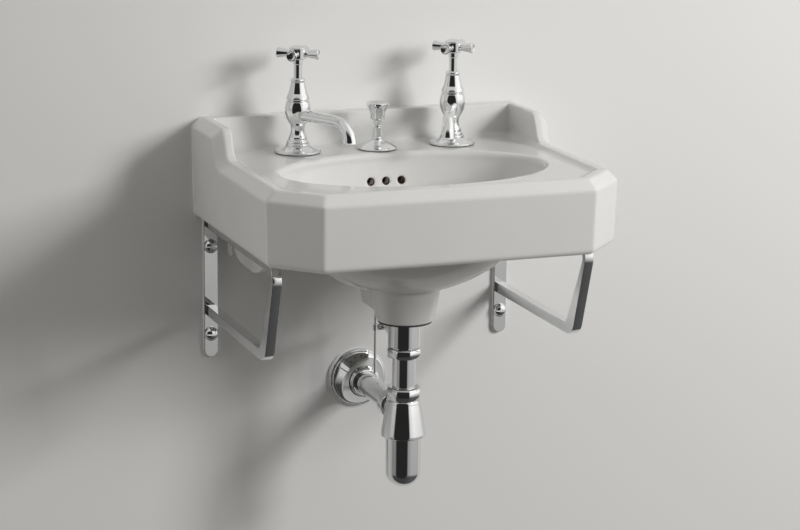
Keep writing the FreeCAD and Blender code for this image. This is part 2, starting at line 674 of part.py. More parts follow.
def cartridge():
    """Headwork: barrel with two side ports, threaded collar and neck."""
    top = TAP_TOP
    neck_top = top + BONNET_H + 1.0
    foot = CHAMBER_FOOT
    solid = lathe((4.6, foot), (8.4, foot), (8.4, top - THREAD_L), (THREAD_R - THREAD_GAP, top - THREAD_L),
                  (THREAD_R - THREAD_GAP, top), (12.6, top), (12.6, top + 2.2), (7.8, top + 2.2),
                  (7.8, neck_top), (SPINDLE_R + RUN_GAP, neck_top),
                  (SPINDLE_R + RUN_GAP, foot + 12), (DISC_R + 0.1, foot + 12),
                  (DISC_R + 0.1, foot + 2), (4.6, foot + 2))
    port = Part.makeBox(2 * THREAD_R, DISC_R, DISC_T, V(-THREAD_R, -DISC_R / 2, foot + 2.6 + DISC_T))
    return solid.cut(port)


def disc(z, bite):
    """A ceramic disc with one half-moon opening."""
    plate = ring(DISC_R, 0, z, z + DISC_T)
    start = 0.9 if bite > 0 else -0.9 - 2 * DISC_R
    moon = ring(DISC_R * 0.6, 0, z - 1, z + DISC_T + 1).common(
        Part.makeBox(2 * DISC_R, 2 * DISC_R, DISC_T + 2, V(start, -DISC_R, z - 1)))
    return plate.cut(moon)


def spindle():
    foot = CHAMBER_FOOT + 2 + 2 * DISC_T + RUN_GAP
    return lathe((0, foot), (6.2, foot), (6.2, foot + 2), (SPINDLE_R, foot + 2),
                 (SPINDLE_R, ARM_H + 0.5), (2.0, ARM_H + 0.5), (2.0, ARM_H - 9), (0, ARM_H - 9))


def bonnet():
    """Tapered cover over the headwork, seated on the body's top face."""
    foot, top, s = TAP_TOP, TAP_TOP + BONNET_H, BONNET_SKIN
    return lathe((12.9, foot), (TAP_TOP_R + 0.6, foot), (BONNET_R, foot + 1.4),
                 ((BONNET_R - 1.6, foot + 5.5), (BONNET_R - 3.4, foot + 8.6)),
                 (BONNET_TOP_R, top), (7.9, top), (7.9, top - 3),
                 (BONNET_R - 3.4 - s, foot + 8.2), (12.9, foot + 5.0))


def gland():
    """Rounded ring that closes the bonnet around the handle's stem."""
    foot = TAP_TOP + BONNET_H
    top = foot + GLAND_H
    return lathe((7.9, foot), (8.6, foot), ((GLAND_R, foot + GLAND_H * 0.45), (8.8, top - 0.8)),
                 (7.4, top), (STEM_R + 0.3, top), (STEM_R + 0.3, foot + 1.6), (7.9, foot + 1.6))


def arm():
    """One flared arm along +X with a dished end."""
    r, end = ARM_END_R, ARM_REACH
    made = lathe((0, 0), (ARM_ROOT_R, 0), (ARM_ROOT_R, ARM_ROOT), (r, end - 0.8), (r - 0.7, end),
                 (r - 1.6, end), ((r / 2.4, end - 1.0), (0, end - 1.2)))
    made.rotate(V(0, 0, 0), V(0, 1, 0), 90)
    return made


def handle():
    """Stem, collar, hub and four arms in one casting."""
    foot = TAP_TOP + BONNET_H + GLAND_H * 0.35
    low, high = ARM_H - HUB_H / 2, ARM_H + HUB_H / 2
    body = lathe((0, foot), (STEM_R, foot), (STEM_R, low - 7.6), (STEM_COLLAR_R, low - 7.0),
                 (STEM_COLLAR_R, low - 0.6), (HUB_R - 0.8, low), (HUB_R, low + 0.8),
                 (HUB_R, high - 0.8), (HUB_R - 0.8, high), (0, high))
    arms = []
    for k in range(4):
        one = arm()
        one.rotate(V(0, 0, 0), UP, 45 + 90 * k)
        one.translate(V(0, 0, ARM_H))
        arms.append(one)
    body = body.fuse(arms)
    hold = SPINDLE_R + PRESS_GAP
    bore = lathe((0, foot - 1), (hold, foot - 1), (hold, ARM_H + 0.5 + PRESS_GAP),
                 (2.6, ARM_H + 0.5 + PRESS_GAP), (2.6, high - CAP_DEEP - 1.5), (CAP_R - 2.0, high - CAP_DEEP - 1.5),
                 (CAP_R - 2.0, high - CAP_DEEP), (CAP_R, high - CAP_DEEP), (CAP_R, high + 1), (0, high + 1))
    return body.cut(bore)


def handle_screw():
    high = ARM_H + HUB_H / 2
    head = high - CAP_DEEP - 1.5
    return lathe((0, ARM_H - 8), (1.9, ARM_H - 8), (1.9, head), (CAP_R - 2.6, head),
                 (CAP_R - 2.6, head + 1.2), (0, head + 1.2))


def index_cap():
    high = ARM_H + HUB_H / 2
    r = CAP_R - 0.05
    brim, edge = CAP_DOME_R, high + CAP_EDGE
    return lathe((0, high - CAP_DEEP), (r, high - CAP_DEEP), (r, high), (brim, high), (brim, edge),
                 ((brim * 0.62, edge + CAP_DOME * 0.66), (0, edge + CAP_DOME)))


def place_tap(shape, side):
    """Stand a tap's piece on the deck at its hole, its spout turned towards the bowl."""
    placed = shape.copy()
    placed.rotate(V(0, 0, 0), UP, SPOUT_TURN)
    if side > 0:
        placed = mirrored(placed)
    placed.translate(V(side * TAP_X, -TAP_Y, DECK + SEAL_T))
    return placed


def at_taps(shape):
    pair = []
    for side in (-1, 1):
        one = shape.copy()
        one.translate(V(side * TAP_X, -TAP_Y, 0))
        pair.append(one)
    return Part.makeCompound(pair)


# ---- pop-up waste ------------------------------------------------------------------------------
def at_knob(shape):
    shape.translate(V(0, -KNOB_Y, 0))
    return shape


def at_outlet(shape):
    shape.translate(V(0, -OUTLET_Y, 0))
    return shape


def knob_guide():
    """Domed flange with a column above the deck and a threaded stem below it."""
    seat, top = DECK + SEAL_T, DECK + GUIDE_TOP
    r, bore, stem = GUIDE_FLANGE_R, ROD_R + RUN_GAP, -GUIDE_STEM_FOOT
    return at_knob(lathe((bore, stem), (GUIDE_STEM_R, stem), (GUIDE_STEM_R, seat), (r, seat),
                         (r, seat + 1.4), ((r * 0.72, seat + 6.0), (r * 0.40, seat + 9.4)),
                         ((8.2, seat + 11.4), (GUIDE_COLUMN_R + 0.8, seat + 14.5)),
                         (GUIDE_COLUMN_R, seat + 16), (GUIDE_COLUMN_R, top - 1),
                         (GUIDE_COLUMN_R - 1, top), (bore, top)))


def lift_knob():
    """Flared cup on a short neck, closed by a shallow dished top, bored for its rod."""
    foot = DECK + GUIDE_TOP + 1.0
    cup, top = foot + KNOB_NECK_H, foot + KNOB_NECK_H + KNOB_CUP_H
    grip = foot + KNOB_GRIP + PRESS_GAP
    bore = ROD_R + PRESS_GAP
    return at_knob(lathe((bore, foot), (KNOB_NECK_R + 1, foot), (KNOB_NECK_R, foot + 1),
                         (KNOB_NECK_R, cup - 1.4), ((KNOB_FOOT_R - 1.5, cup), (KNOB_FOOT_R, cup + 1.8)),
                         ((KNOB_FOOT_R + 1.9, cup + KNOB_CUP_H * 0.55), (KNOB_RIM_R, top - 3.6)),
                         (KNOB_RIM_R, top - 1.2), ((KNOB_RIM_R - 0.4, top - 0.3), (KNOB_RIM_R - 1.2, top)),
                         (KNOB_RIM_R - 2.2, top), ((KNOB_RIM_R * 0.45, top - 1.2), (0, top - 1.6)),
                         (0, grip), (bore, grip)))


def lift_rod():
    top = DECK + GUIDE_TOP + 1.0 + KNOB_GRIP
    return at_knob(lathe((0, -ROD_FOOT), (ROD_R - 0.4, -ROD_FOOT), (ROD_R, -ROD_FOOT + 0.6),
                         (ROD_R, top), (0, top)))


def waste_flange():
    """Dished flange with a level plug seat, on a long barrel with two overflow windows."""
    seat = BOWL_FLOOR
    barrel = lathe((BARREL_BORE_R, seat - BARREL_L), (BARREL_R, seat - BARREL_L), (BARREL_R, seat),
                   (FLANGE_R, seat), (FLANGE_R, seat + 0.8), (FLANGE_R - 2, seat + FLANGE_T),
                   ((FLANGE_R - 6, seat + FLANGE_T * 0.7), (PLUG_R + 1, seat + SEAT_T)),
                   (BARREL_BORE_R, seat + SEAT_T))
    low = 3 * DUCT_WALL - DUCT_FOOT
    window = Part.makeBox(20, 2 * BARREL_R + 10, WINDOW_H, V(-10, -BARREL_R - 5, low))
    return at_outlet(barrel.cut(window))


def waste_body():
    """Sleeve on the barrel, with the ball rod's port and a threaded tail."""
    top, foot = -COLLAR_FOOT - RUBBER_T, -WASTE_FOOT
    shoulder = BOWL_FLOOR - BARREL_L - 0.5
    bore, throat = BARREL_R + THREAD_GAP, TUBE_R - TUBE_T
    sleeve = at_outlet(lathe((bore, top), (WASTE_R, top), (WASTE_R, foot), (THREAD_TAIL_R, foot),
                             (THREAD_TAIL_R, foot - THREAD_TAIL_H), (throat, foot - THREAD_TAIL_H),
                             (throat, shoulder), (bore, shoulder)))
    boss = along_rod(ring(PORT_R, 0, bore - 1, PORT_END))
    inside = at_outlet(ring(bore, 0, shoulder, top)).fuse(
        at_outlet(ring(throat, 0, foot - THREAD_TAIL_H, shoulder)))
    body = sleeve.fuse(boss.cut(inside))
    mouth = ring(PORT_MOUTH_R, 0, 0, seat_from()).fuse(ring(SEAT_POCKET_R, 0, seat_from(), PORT_END + 1))
    return body.cut(along_rod(mouth))


def seat_from():
    return BALL_OUT - BALL_R - 2.0


def rod_turn():
    """How far the ball rod's line turns in plan to pass beside the lift rod."""
    return math.asin(ROD_SIDE / (OUTLET_Y - KNOB_Y))


def link_out():
    """From the outlet axis to the link, along the ball rod's line."""
    return (OUTLET_Y - KNOB_Y) * math.cos(rod_turn())


def rod_tilt():
    """The ball rod dips by this at rest, and rises by as much with the knob up."""
    return math.atan(LIFT / 2 / (link_out() - BALL_OUT))


def along_rod(shape, tilted=False):
    """Lay an upright piece along the ball rod's line, its foot on the outlet axis."""
    laid = shape.copy()
    if tilted:
        laid.rotate(V(0, 0, BALL_OUT), V(1, 0, 0), -math.degrees(rod_tilt()))
    laid.rotate(V(0, 0, 0), V(1, 0, 0), -90)
    laid.rotate(V(0, 0, 0), UP, -math.degrees(rod_turn()))
    laid.translate(V(0, -OUTLET_Y, -PORT_DROP))
    return laid


def ball_rod():
    """Rod with its ball: the inner end lifts the plug, the outer end passes the link."""
    rod = ring(BALL_ROD_R, 0, -BALL_ROD_TAIL, link_out() + LINK_R + BALL_ROD_TAIL)
    return along_rod(rod.fuse(Part.makeSphere(BALL_R, V(0, 0, BALL_OUT))), True)


def ball_seats():
    """Two rings that cup the ball from both sides."""
    socket = Part.makeSphere(BALL_R + RUN_GAP, V(0, 0, BALL_OUT))
    r_out, r_in = SEAT_POCKET_R - RUN_GAP, BALL_ROD_R + 1.6
    inner = ring(r_out, r_in, seat_from(), BALL_OUT - 1.5).cut(socket)
    outer = ring(r_out, r_in, BALL_OUT + 1.5, PORT_END + 1).cut(socket)
    return Part.makeCompound([along_rod(inner), along_rod(outer)])


def ball_nut():
    """Round cap nut whose bore widens so that the rod can swing."""
    r, low, high = BALL_NUT_R, BALL_NUT_FROM, BALL_NUT_END
    mouth = BALL_ROD_R + 1.2 + (high - BALL_OUT) * math.tan(rod_tilt())
    outline = lathe((PORT_R + THREAD_GAP, low), (r, low), (r, high - 3), ((r - 0.8, high - 0.8), (r - 2.6, high)),
                    (mouth, high), (BALL_ROD_R + 2.4, PORT_END + 1), (PORT_R + THREAD_GAP, PORT_END + 1))
    return along_rod(outline)


def link_clamp():
    """Collar on the lift rod with a short pin for the link."""
    collar = ring(CLAMP_R, 0, -CLAMP_H / 2, CLAMP_H / 2)
    pin = Part.makeCylinder(LINK_PIN_R, ROD_SIDE - LINK_GAP - BALL_ROD_R, V(0, 0, 0), V(1, 0, 0))
    made = collar.fuse(pin).cut(ring(ROD_R + PRESS_GAP, 0, -CLAMP_H, CLAMP_H))
    return place_link(made)


def link():
    """Drum that turns on the clamp's pin; the ball rod slides through it."""
    near, far = CLAMP_R + LINK_GAP, ROD_SIDE + BALL_ROD_R + 3.0
    drum = Part.makeCylinder(LINK_R, far - near, V(near, 0, 0), V(1, 0, 0))
    pin_hole = Part.makeCylinder(LINK_PIN_R + RUN_GAP, ROD_SIDE - near, V(near, 0, 0), V(1, 0, 0))
    rod_hole = Part.makeCylinder(BALL_ROD_R + 0.3, 4 * LINK_R, V(ROD_SIDE, -2 * LINK_R, 0), INTO_WALL)
    made = drum.cut(pin_hole.fuse(rod_hole))
    made.rotate(V(0, 0, 0), V(1, 0, 0), -math.degrees(rod_tilt()))
    return place_link(made)


def place_link(shape):
    shape.rotate(V(0, 0, 0), UP, -math.degrees(rod_turn()))
    shape.translate(V(0, -KNOB_Y, -PORT_DROP - LIFT / 2))
    return shape


def plug_rise():
    """The plug's travel: at rest it stands this much above its seat."""
    return LIFT * BALL_OUT / (link_out() - BALL_OUT)


def plug_foot():
    return BOWL_FLOOR + SEAT_T + PLUG_GAP + plug_rise()


def plug_head():
    """Low dome on a boss, over four guide fins."""
    low = plug_foot() + RUBBER_T
    head = lathe((0, low - RUBBER_T - 1), (PLUG_BOSS_R, low - RUBBER_T - 1), (PLUG_BOSS_R, low),
                 (PLUG_R, low), (PLUG_R, low + PLUG_T), ((PLUG_R * 0.55, low + PLUG_T + PLUG_DOME * 0.72),
                                                         (0, low + PLUG_T + PLUG_DOME)))
    fins = []
    for turn in (0, 90):
        fin = Part.makeBox(2 * FIN_R, FIN_T, FIN_H, V(-FIN_R, -FIN_T / 2, low - RUBBER_T - FIN_H))
        fin.rotate(V(0, 0, 0), UP, turn + 45)
        fins.append(fin)
    rim = ring(FIN_R, 0, low - RUBBER_T - FIN_H, low - RUBBER_T)
    head = head.fuse([fin.common(rim) for fin in fins])
    bore = ring(PLUG_STEM_R + PRESS_GAP, 0, low - FIN_H - 5, low - 1 + PRESS_GAP)
    return at_outlet(head.cut(bore))


def plug_seal():
    return at_outlet(ring(PLUG_R - 0.3, PLUG_BOSS_R + PRESS_GAP, plug_foot(), plug_foot() + RUBBER_T))


def plug_stem():
    """Rod with a flat eye that the ball rod's inner end passes through."""
    level = BALL_OUT * math.tan(rod_tilt()) - PORT_DROP
    top = plug_foot() + RUBBER_T - 1
    rod = ring(PLUG_STEM_R, 0, level + EYE_R, top)
    blade = Part.makeCylinder(EYE_HALF, EYE_T, V(0, -EYE_T / 2, level), INTO_WALL)
    eye = Part.makeCylinder(EYE_R, 4 * EYE_T, V(0, -2 * EYE_T, level), INTO_WALL)
    stem = rod.fuse(blade).cut(eye)
    stem.rotate(V(0, 0, 0), UP, -math.degrees(rod_turn()))
    return at_outlet(stem)


# ---- trap --------------------------------------------------------------------------------------
def tail_foot():
    return -WASTE_FOOT - THREAD_TAIL_H


def union_nut(corner_r, thread_r, bore_r, top, height, lip_up):
    """Flat-sided nut with an inner lip, at its top or at its foot."""
    foot = top - height
    nut = faceted(corner_r, 8, foot, top)
    lip_low, lip_high = (top - LIP_T, top) if lip_up else (foot, foot + LIP_T)
    cavity = ring(thread_r, 0, foot - 1, top + 1).cut(ring(thread_r, bore_r, lip_low, lip_high))
    return at_outlet(nut.cut(cavity))


def inlet_tube():
    """Collared tube from the waste down inside the trap."""
    top = tail_foot() - SEAL_H
    return at_outlet(lathe((TUBE_R - TUBE_T, -TUBE_FOOT), (TUBE_R, -TUBE_FOOT), (TUBE_R, top - COLLAR_T),
                           (THREAD_TAIL_R - 0.3, top - COLLAR_T), (THREAD_TAIL_R - 0.3, top),
                           (TUBE_R - TUBE_T, top)))


def trap_body():
    """Bell-shaped casting: neck on top, cup thread below, outlet boss at the back."""
    neck, foot = -SLIP_NUT_TOP - SLIP_NUT_H, -TRAP_FOOT
    neck_top = neck + NECK_H
    shoulder = foot + CUP_IN_BODY + SEAL_H
    bell = lathe((0, foot), (TRAP_FOOT_R - 0.8, foot), (TRAP_FOOT_R, foot + 0.8),
                 (TRAP_FOOT_R, foot + 4.0), ((TRAP_FOOT_R - 3.4, foot + 24.0), (TRAP_TOP_R + 0.3, neck - 4.5)),
                 ((TRAP_TOP_R, neck - 2.5), (TRAP_TOP_R - 0.8, neck - 0.5)), (NECK_R, neck - 0.5),
                 (NECK_R, neck_top), (0, neck_top))
    boss = towards_wall(ring(OUTLET_THREAD_R, 0, 0, OUTLET_BOSS), 0, -PIPE_DROP)
    skirt = lathe((0, foot - 1), (CUP_R + THREAD_GAP, foot - 1), (CUP_R + THREAD_GAP, shoulder),
                  (PASSAGE_R, shoulder), (PASSAGE_R, -PIPE_DROP + 14), (TUBE_R + RUN_GAP, neck + 1),
                  (TUBE_R + RUN_GAP, neck_top + 1), (0, neck_top + 1))
    way = towards_wall(ring(TUBE_R - TUBE_T, 0, 18, OUTLET_BOSS + 1), 0, -PIPE_DROP)
    clear = ring(PASSAGE_R, 0, -PIPE_DROP - 14, -PIPE_DROP + 14)
    way = way.fuse(towards_wall(ring(TUBE_R - TUBE_T, 0, 0, 19), 0, -PIPE_DROP).common(clear))
    return at_outlet(bell.fuse(boss).cut(skirt).cut(way))


def trap_cup():
    """Deep cup with a domed floor, screwed up into the bell."""
    top, waist, foot = -TRAP_FOOT + CUP_IN_BODY, -CUP_WAIST, -CUP_FOOT
    r, inner, drop = CUP_R, CUP_R - CUP_WALL, CUP_FOOT - CUP_WAIST
    bend = math.sqrt(0.5)
    return at_outlet(lathe((0, foot), ((r * bend, waist - drop * bend), (r, waist)), (r, top), (inner, top),
                           (inner, waist), ((inner * bend, waist - (drop - CUP_WALL) * bend),
                                            (0, foot + CUP_WALL))))


def outlet_pipe():
    """Level pipe from the trap through the wall."""
    start = OUTLET_BOSS + SEAL_H - OUTLET_Y
    pipe = ring(TUBE_R, TUBE_R - TUBE_T, start, PIPE_IN_WALL)
    collar = ring(OUTLET_THREAD_R - 0.3, TUBE_R - TUBE_T, start, start + COLLAR_T)
    groove = ring(TUBE_R + 1, PIPE_GROOVE_R, PIPE_GROOVE, 2 * PIPE_GROOVE)
    return towards_wall(pipe.fuse(collar).cut(groove).removeSplitter(), 0, -PIPE_DROP)


def outlet_nut():
    low = OUTLET_BOSS - 9.0 - OUTLET_Y
    high = low + OUTLET_NUT_L
    lip = OUTLET_BOSS + SEAL_H + COLLAR_T - OUTLET_Y
    nut = lathe((OUTLET_THREAD_R + THREAD_GAP, low), (OUTLET_NUT_R - 1, low), (OUTLET_NUT_R, low + 1),
                (OUTLET_NUT_R, high - 3), ((OUTLET_NUT_R - 0.8, high - 0.8), (OUTLET_NUT_R - 2.8, high)),
                (TUBE_R + RUN_GAP, high), (TUBE_R + RUN_GAP, lip), (OUTLET_THREAD_R + THREAD_GAP, lip))
    return towards_wall(nut, 0, -PIPE_DROP)


def wall_rose():
    """Stepped flange against the wall, with a cone and a collar around the pipe."""
    r, end, bore = ROSE_R, ROSE_L, TUBE_R + RUN_GAP
    rose = lathe((r - 1.5, 0), (r, 0), (r, -4.5), ((r - 0.5, -6.0), (r - 2.0, -6.5)), (r - 2.6, -6.5),
                 (r - 2.6, -8.0), ((r - 3.2, -9.6), (r - 5.0, -10.4)),
                 ((r - 13.0, -19.5), (ROSE_COLLAR_R + 2.0, 9.0 - end)),
                 (ROSE_COLLAR_R, 8.0 - end), (ROSE_COLLAR_R, 2.0 - end),
                 ((ROSE_COLLAR_R - 0.6, 0.6 - end), (ROSE_COLLAR_R - 2.0, -end)), (bore, -end),
                 (bore, 6.0 - end), (bore + 2.0, 6.0 - end), (r - 16.0, -16.0), (r - 6.0, -8.0),
                 (r - 4.0, -4.0), (r - 4.0, -1.0))
    return towards_wall(rose, 0, -PIPE_DROP)


# ---- output ------------------------------------------------------------------------------------
NODES = {}


def keep(name, shape):
    NODES[name] = shape


def build_basin_and_brackets():
    keep("basin", basin())
    loop = bar_loop()
    plate = wall_plate()
    keep("right_bracket_bar", loop)
    keep("left_bracket_bar", mirrored(loop))
    keep("right_wall_plate", plate)
    keep("left_wall_plate", mirrored(plate))
    screws = [wall_screw(side * BRACKET_X, drop) for side in (-1, 1) for drop in SCREW_DROPS]
    keep("wall_screws", Part.makeCompound(screws))
    keep("bracket_pads", pads())


def build_taps():
    pieces = {"body": tap_body(), "cartridge": cartridge(), "bonnet": bonnet(), "gland": gland(),
              "fixed_disc": disc(CHAMBER_FOOT + 2, 1),
              "moving_disc": disc(CHAMBER_FOOT + 2 + DISC_T + RUN_GAP, -1),
              "spindle": spindle(), "handle": handle(), "handle_screw": handle_screw(),
              "index_cap": index_cap()}
    pieces["handle"].rotate(V(0, 0, 0), UP, -SPOUT_TURN)
    for side, name in ((-1, "hot"), (1, "cold")):
        for piece, shape in pieces.items():
            keep("%s_%s" % (name, piece), place_tap(shape, side))
        middle = V(side * TAP_X, -TAP_Y, 0)
        NODES["%s_handle" % name].rotate(middle, UP, HANDLE_TURNS[name])
    keep("tap_deck_seals", at_taps(ring(TAP_FLANGE_R - 1.0, TAIL_R + 0.3, DECK, DECK + SEAL_T)))
    foot = DECK_FOOT - UNDER_WASHER_T
    keep("tap_under_washers", at_taps(ring(UNDER_WASHER_R, TAIL_R + 0.3, foot, DECK_FOOT)))
    nut = faceted(NUT_CORNER_R, 6, foot - NUT_T, foot).cut(ring(TAIL_R + THREAD_GAP, 0, foot - NUT_T, foot))
    keep("tap_back_nuts", at_taps(nut))


def build_lift():
    keep("knob_guide", knob_guide())
    keep("lift_knob", lift_knob())
    keep("lift_rod", lift_rod())
    keep("guide_seal", at_knob(ring(GUIDE_FLANGE_R - 1, GUIDE_STEM_R + 0.3, DECK, DECK + SEAL_T)))
    foot = DECK_FOOT
    nut = faceted(GUIDE_NUT_CORNER_R, 6, foot - GUIDE_NUT_T, foot)
    keep("guide_nut", at_knob(nut.cut(ring(GUIDE_STEM_R + THREAD_GAP, 0, foot - GUIDE_NUT_T, foot))))


def build_waste():
    for piece in (link_clamp, link, ball_rod, ball_seats, ball_nut, waste_flange, waste_body,
                  plug_head, plug_seal, plug_stem):
        keep(piece.__name__, piece())
    seat = BOWL_FLOOR
    seals = [at_outlet(ring(FLANGE_R - 0.5, BARREL_R + 0.3, seat - RUBBER_T, seat)),
             at_outlet(ring(COLLAR_R - 2, BARREL_R + 0.3, -COLLAR_FOOT - RUBBER_T, -COLLAR_FOOT))]
    keep("waste_seals", Part.makeCompound(seals))


def build_trap():
    nut_bore = TUBE_R + RUN_GAP
    keep("inlet_nut", union_nut(INLET_NUT_R, THREAD_TAIL_R + THREAD_GAP, nut_bore, -INLET_NUT_TOP,
                                INLET_NUT_H, False))
    keep("slip_nut", union_nut(SLIP_NUT_R, NECK_R + THREAD_GAP, nut_bore, -SLIP_NUT_TOP,
                               SLIP_NUT_H, True))
    for piece in (inlet_tube, trap_body, trap_cup, outlet_pipe, outlet_nut, wall_rose):
        keep(piece.__name__, piece())
    keep("inlet_seal", at_outlet(ring(THREAD_TAIL_R - 0.3, TUBE_R - TUBE_T, tail_foot() - SEAL_H,
                                      tail_foot())))
    neck_top = NECK_H - SLIP_NUT_TOP - SLIP_NUT_H
    keep("slip_seal", at_outlet(ring(NECK_R - 0.2, nut_bore, neck_top, -SLIP_NUT_TOP - LIP_T)))
    cup_top = -TRAP_FOOT + CUP_IN_BODY
    keep("cup_seal", at_outlet(ring(CUP_R - 0.1, PASSAGE_R, cup_top, cup_top + SEAL_H)))
    joint = OUTLET_BOSS - OUTLET_Y
    keep("outlet_seal", towards_wall(ring(OUTLET_THREAD_R - 0.3, TUBE_R - TUBE_T, joint, joint + SEAL_H),
                                     0, -PIPE_DROP))


def build():
    build_basin_and_brackets()
    build_taps()
    build_lift()
    build_waste()
    build_trap()


def main():
    os.makedirs("parts", exist_ok=True)
    build()
    for name, shape in NODES.items():
        shape.exportStep("parts/%s.step" % name)
        print("%-24s solids %d valid %s volume %.0f" % (name, len(shape.Solids), shape.isValid(), shape.Volume))


main()
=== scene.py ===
import json
import math

import bmesh
import bpy
from mathutils import Matrix, Vector


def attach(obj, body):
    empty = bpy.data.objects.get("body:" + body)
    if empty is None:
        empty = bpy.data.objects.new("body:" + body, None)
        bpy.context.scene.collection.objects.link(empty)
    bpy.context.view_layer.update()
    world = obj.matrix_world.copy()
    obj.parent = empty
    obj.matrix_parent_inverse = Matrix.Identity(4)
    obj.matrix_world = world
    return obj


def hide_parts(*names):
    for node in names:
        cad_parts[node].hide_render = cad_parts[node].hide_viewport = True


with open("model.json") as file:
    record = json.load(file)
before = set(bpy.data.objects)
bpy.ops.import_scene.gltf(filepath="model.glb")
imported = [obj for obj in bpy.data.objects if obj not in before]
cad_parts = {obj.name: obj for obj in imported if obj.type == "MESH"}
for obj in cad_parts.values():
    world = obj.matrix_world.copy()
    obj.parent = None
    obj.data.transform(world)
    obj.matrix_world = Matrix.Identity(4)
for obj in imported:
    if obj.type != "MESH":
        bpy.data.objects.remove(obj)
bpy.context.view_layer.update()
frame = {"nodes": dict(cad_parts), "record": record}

MM = 0.001
nodes = frame["nodes"]

# Sizes that the better pieces share with the construction, in millimetres and degrees.
TAP_X, TAP_Y, KNOB_Y = 111.5, 67.5, 74.0
SEAT = 9.0                              # top of the tap's seal above the origin
SPOUT_TURN = 25.0                       # from straight ahead towards the bowl
HOLE_R, HOLE_PITCH, HOLE_Y, HOLE_Z = 5.2, 22.0, -105.0, -30.0     # overflow holes
HOLE_FRONT, HOLE_BACK = -117.0, -97.0   # ends of their cuts
HOLE_EDGE, HOLE_NEAR = 0.5, 20.0        # bare edge round a hole, and how far from HOLE_Y it shows


# ---- node trees --------------------------------------------------------------------------------
def tree(name, colour, metallic, rough):
    """A principled material and what is needed to go on building it."""
    mat = bpy.data.materials.new(name)
    mat.use_nodes = True
    shader = mat.node_tree.nodes["Principled BSDF"]
    shader.inputs["Base Color"].default_value = (*colour, 1)
    shader.inputs["Metallic"].default_value = metallic
    shader.inputs["Roughness"].default_value = rough
    return mat, mat.node_tree, shader


def add(nt, kind, **settings):
    """A new node with its settings."""
    node = nt.nodes.new(kind)
    for key, value in settings.items():
        setattr(node, key, value)
    return node


def noise(nt, scale, detail, rough=0.55):
    """A noise value in the object's own space."""
    place = add(nt, "ShaderNodeTexCoord")
    made = add(nt, "ShaderNodeTexNoise")
    made.inputs["Scale"].default_value = scale
    made.inputs["Detail"].default_value = detail
    made.inputs["Roughness"].default_value = rough
    nt.links.new(place.outputs["Object"], made.inputs["Vector"])
    return made.outputs["Fac"]


def spread(nt, source, low, high, out_low, out_high):
    """Map a stretch of one value to another."""
    made = add(nt, "ShaderNodeMapRange")
    ends = {"From Min": low, "From Max": high, "To Min": out_low, "To Max": out_high}
    for key, value in ends.items():
        made.inputs[key].default_value = value
    nt.links.new(source, made.inputs["Value"])
    return made.outputs["Result"]


def mixed(nt, factor, first, second):
    """Blend two colours or colour sockets by a value, which may go past one."""
    made = add(nt, "ShaderNodeMix", data_type="RGBA", clamp_factor=False)
    nt.links.new(factor, made.inputs["Factor"])
    for socket, value in ((made.inputs["A"], first), (made.inputs["B"], second)):
        if isinstance(value, tuple):
            socket.default_value = (*value, 1)
        else:
            nt.links.new(value, socket)
    return made.outputs["Result"]


def bump(nt, shader, height, distance, strength):
    """Give a material's surface the relief of a value, its distance in metres."""
    made = add(nt, "ShaderNodeBump")
    made.inputs["Strength"].default_value = strength
    made.inputs["Distance"].default_value = distance
    nt.links.new(height, made.inputs["Height"])
    nt.links.new(made.outputs["Normal"], shader.inputs["Normal"])


def maths(nt, operation, *values):
    """One step of arithmetic on sockets and numbers."""
    made = add(nt, "ShaderNodeMath", operation=operation)
    for socket, value in zip(made.inputs, values):
        if isinstance(value, (int, float)):
            socket.default_value = value
        else:
            nt.links.new(value, socket)
    return made.outputs[0]


def overflow_mask(nt):
    """One inside the overflow holes and just round their rims, nothing elsewhere."""
    split = add(nt, "ShaderNodeSeparateXYZ")
    nt.links.new(add(nt, "ShaderNodeTexCoord").outputs["Object"], split.inputs[0])
    x, y, z = split.outputs
    across = maths(nt, "WRAP", x, HOLE_PITCH * MM / 2, -HOLE_PITCH * MM / 2)
    height = maths(nt, "SUBTRACT", z, HOLE_Z * MM)
    squares = maths(nt, "ADD", maths(nt, "POWER", across, 2), maths(nt, "POWER", height, 2))
    far = maths(nt, "SQRT", squares)
    round_hole = spread(nt, far, HOLE_R * MM, (HOLE_R + HOLE_EDGE) * MM, 1, 0)
    in_row = maths(nt, "LESS_THAN", maths(nt, "ABSOLUTE", x), 1.5 * HOLE_PITCH * MM)
    depth = maths(nt, "ABSOLUTE", maths(nt, "SUBTRACT", y, HOLE_Y * MM))
    in_wall = maths(nt, "LESS_THAN", depth, HOLE_NEAR * MM)
    return maths(nt, "MULTIPLY", round_hole, maths(nt, "MULTIPLY", in_row, in_wall))


# ---- materials ---------------------------------------------------------------------------------
# Tones, as linear red, green and blue.
GLAZE, GLAZE_DEEP = (0.775, 0.77, 0.755), (0.755, 0.75, 0.735)
SPECK, BARE_CLAY = (0.55, 0.5, 0.43), (0.17, 0.085, 0.045)
PLATE_DULL, PLATE_BRIGHT = (0.80, 0.81, 0.82), (0.86, 0.865, 0.87)
BRASS_BRIGHT, BRASS_STAIN = (0.66, 0.46, 0.2), (0.4, 0.27, 0.12)
PAINT, PAINT_DEEP = (0.905, 0.898, 0.883), (0.89, 0.883, 0.866)


